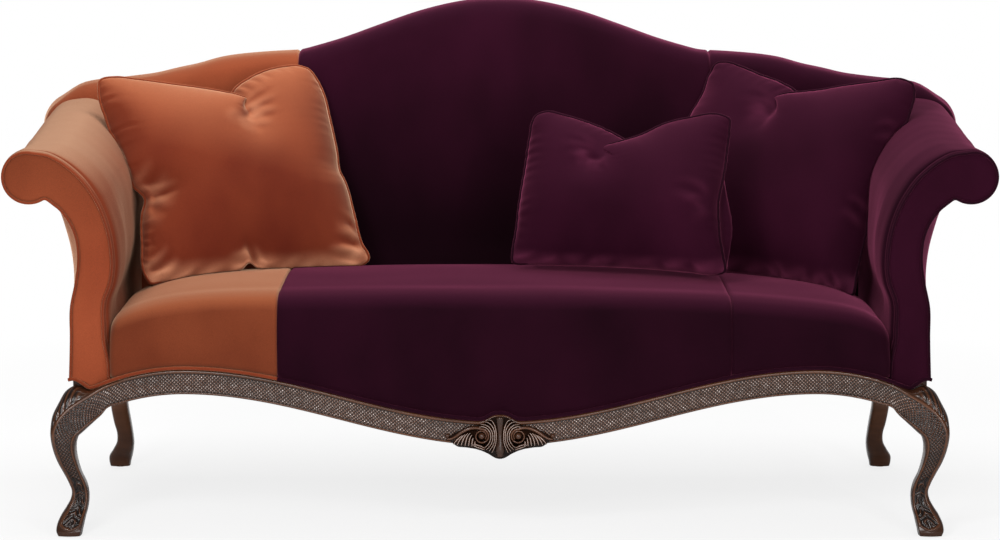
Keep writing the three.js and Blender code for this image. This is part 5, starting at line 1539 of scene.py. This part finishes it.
def ornament_tone(height):
    """Painted shade between the reeds, brown on their flanks and a pale painted highlight only along their
    tops.
    """
    return np.interp(height, (0.0, 0.3, 0.8, 0.95, 1.0), (0.06, 0.25, 0.5, 0.68, 0.93))


def scroll_ornament():
    work = Carving()
    right = np.array(PLATE_OUTLINE, float)
    outline = even(np.concatenate([right, right[-2:0:-1] * (-1, 1)])[::-1], PLATE_POINTS)
    rings = []
    for distance, rise, _ in PLATE_STEPS:
        flat = inset(outline, distance)
        rings.append(stood(flat, apron_face(flat[:, 0]) - PLATE_RISE * rise))
    work.add(np.array(rings), [[tone] * PLATE_POINTS for _, _, tone in PLATE_STEPS])
    turns = np.linspace(0, 2 * math.pi * SCROLL_TURNS, SCROLL_POINTS)
    reach = SCROLL_START + (SCROLL_REACH - SCROLL_START) * (turns / turns[-1]) ** 0.9
    angle = math.pi / 2 + turns[-1] - turns
    spiral = SCROLL_MIDDLE + reach[:, None] * np.stack([np.cos(angle), np.sin(angle)], 1)
    scroll = np.concatenate([spiral, TENDRIL])
    for side in (-1, 1):
        across = np.array([side, 1.0])
        work.reed(scroll * across, (3.2, 3.6, 3.8, 4.4, 6.0, 7.6, 7.4, 4.0), 4.8, PLATE_RISE,
                  steps=150, tone=0.93)
        work.boss(SCROLL_MIDDLE * across, 6.3, 5.2, PLATE_RISE)
        work.boss((103.5, 207) * across, 4.8, 5.0, 1.5)
        for k, reed in enumerate(WRAP_REEDS):
            work.reed(reed * across, (1.8, 3.6, 3.7, 3.7, 3.4, 2.0), 4.4, PLATE_RISE + 0.3 * k, steps=48)
        for reed in LOW_REEDS:
            work.reed(reed * across, (1.8, 3.8, 4.0, 2.0), 3.8, PLATE_RISE)
        for reed in LEAF_REEDS:
            work.reed(reed * across, (2.2, 4.6, 5.0, 3.0), 4.2, PLATE_RISE)
    middle = [(0, z) for z in (245, 236, 222, 206, 192, 180, 172, 166.5)]
    work.reed(middle, (16.0, 15.0, 12.0, 9.5, 12.0, 17.0, 19.0, 12.0), 7.0, PLATE_RISE, tone=0.62)
    make("scroll_ornament", work.points, work.faces, walnut, ["apron_ornament"],
         values=ornament_tone(work.values))


scroll_ornament()


# Materials of the frame's pieces that show as they are

def dress(material, *nodes):
    for node in nodes:
        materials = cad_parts[node].data.materials
        materials.clear()
        materials.append(material)


def both(*names):
    return [f"{name}_{word}" for name in names for word, _ in SIDES]


dress(beech, *both("cross_brace", "front_corner_brace", "rear_corner_brace", "back_post",
                   "back_stile", "arm_stump", "arm_top_rail", "arm_lower_rail"),
      "front_seat_rail", "back_top_rail", "back_lower_rail")
dress(walnut_rail, *both("side_seat_rail"), "rear_seat_rail")
dress(jute, "seat_webbing", "back_webbing")
dress(cambric, "dust_cover")
dress(felt, *both("front_glide", "rear_glide"))
dress(purple, "outside_back")


# Stage, light and camera

CAMERA_AWAY = 6200.0
CAMERA_HEIGHT = 1312.8
CAMERA_PITCH = 7.221
CAMERA_LENS = 114.28
# In metres: the floor's half width, and how far from its middle it starts to pale and is white
FLOOR_REACH = 14.0
FLOOR_SHADED = 0.9
FLOOR_WHITE = 2.6


def stage_floor():
    """A floor that catches the shadow and glows white around it."""
    mesh = bpy.data.meshes.new("floor")
    r = FLOOR_REACH
    mesh.from_pydata([(-r, -r, 0), (r, -r, 0), (r, r, 0), (-r, r, 0)], [], [(0, 1, 2, 3)])
    material, tree, shader = new_material("floor_white")
    feed(tree, shader, {"Base Color": 0.9, "Roughness": 0.8, "Specular IOR Level": 0.1})
    glow = new_node(tree, "Emission", {"Strength": 1.0})
    where = new_node(tree, "NewGeometry", {})
    length = new_node(tree, "VectorMath", {0: where.outputs["Position"]})
    length.operation = "LENGTH"
    reach = new_node(tree, "MapRange", {"Value": length.outputs["Value"], "From Min": FLOOR_SHADED,
                                        "From Max": FLOOR_WHITE, "To Min": 0.8})
    rays = new_node(tree, "LightPath", {})
    share = product(tree, reach.outputs["Result"], rays.outputs["Is Camera Ray"])
    blend = new_node(tree, "MixShader", {0: share, 1: shader.outputs["BSDF"], 2: glow.outputs["Emission"]})
    feed(tree, tree.nodes["Material Output"], {"Surface": blend.outputs["Shader"]})
    mesh.materials.append(material)
    added("floor", mesh)


def world_light(strength):
    world = bpy.data.worlds.new("studio")
    bpy.context.scene.world = world
    world.use_nodes = True
    tree = world.node_tree
    sky = tree.nodes["Background"]
    feed(tree, sky, {"Color": 1.0, "Strength": strength})
    seen = new_node(tree, "Background", {"Color": 1.0, "Strength": 1.0})
    rays = new_node(tree, "LightPath", {})
    blend = new_node(tree, "MixShader", {0: rays.outputs["Is Camera Ray"], 1: sky.outputs["Background"],
                                         2: seen.outputs["Background"]})
    feed(tree, tree.nodes["World Output"], {"Surface": blend.outputs["Shader"]})


def softbox(name, at, aim, size, power):
    light = bpy.data.lights.new(name, "AREA")
    light.shape = "RECTANGLE"
    light.size, light.size_y = size
    light.energy = power
    obj = added(name, light)
    obj.location = at
    obj.rotation_mode = "QUATERNION"
    obj.rotation_quaternion = (Vector(aim) - Vector(at)).to_track_quat("-Z", "Y")


def camera():
    data = bpy.data.cameras.new("camera")
    data.lens = CAMERA_LENS
    data.sensor_width = 36.0
    obj = added("camera", data)
    obj.location = (0, FACING_PLACE - CAMERA_AWAY / 1000, CAMERA_HEIGHT / 1000)
    obj.rotation_euler = (math.radians(90 - CAMERA_PITCH), 0, 0)
    bpy.context.scene.camera = obj


stage_floor()
world_light(0.28)
softbox("key", (-1.15, -3.5, 2.1), (0, 0, 0.5), (1.6, 1.3), 84)
softbox("fill", (1.05, -3.7, 0.95), (0, 0, 0.45), (1.6, 1.2), 50)
softbox("low", (0, -3.3, 0.16), (0, 0.3, 0.62), (2.6, 0.25), 12)
softbox("top", (0, 0.3, 3.0), (0, 0.1, 0.5), (3.0, 1.4), 85)
softbox("spark_left", (-1.3, -3.2, 2.2), (0, 0, 0.3), (0.2, 0.2), 14)
softbox("spark_right", (1.7, -3.0, 2.0), (0, 0, 0.3), (0.2, 0.2), 16)
camera()
bpy.context.scene.view_settings.view_transform = "Standard"
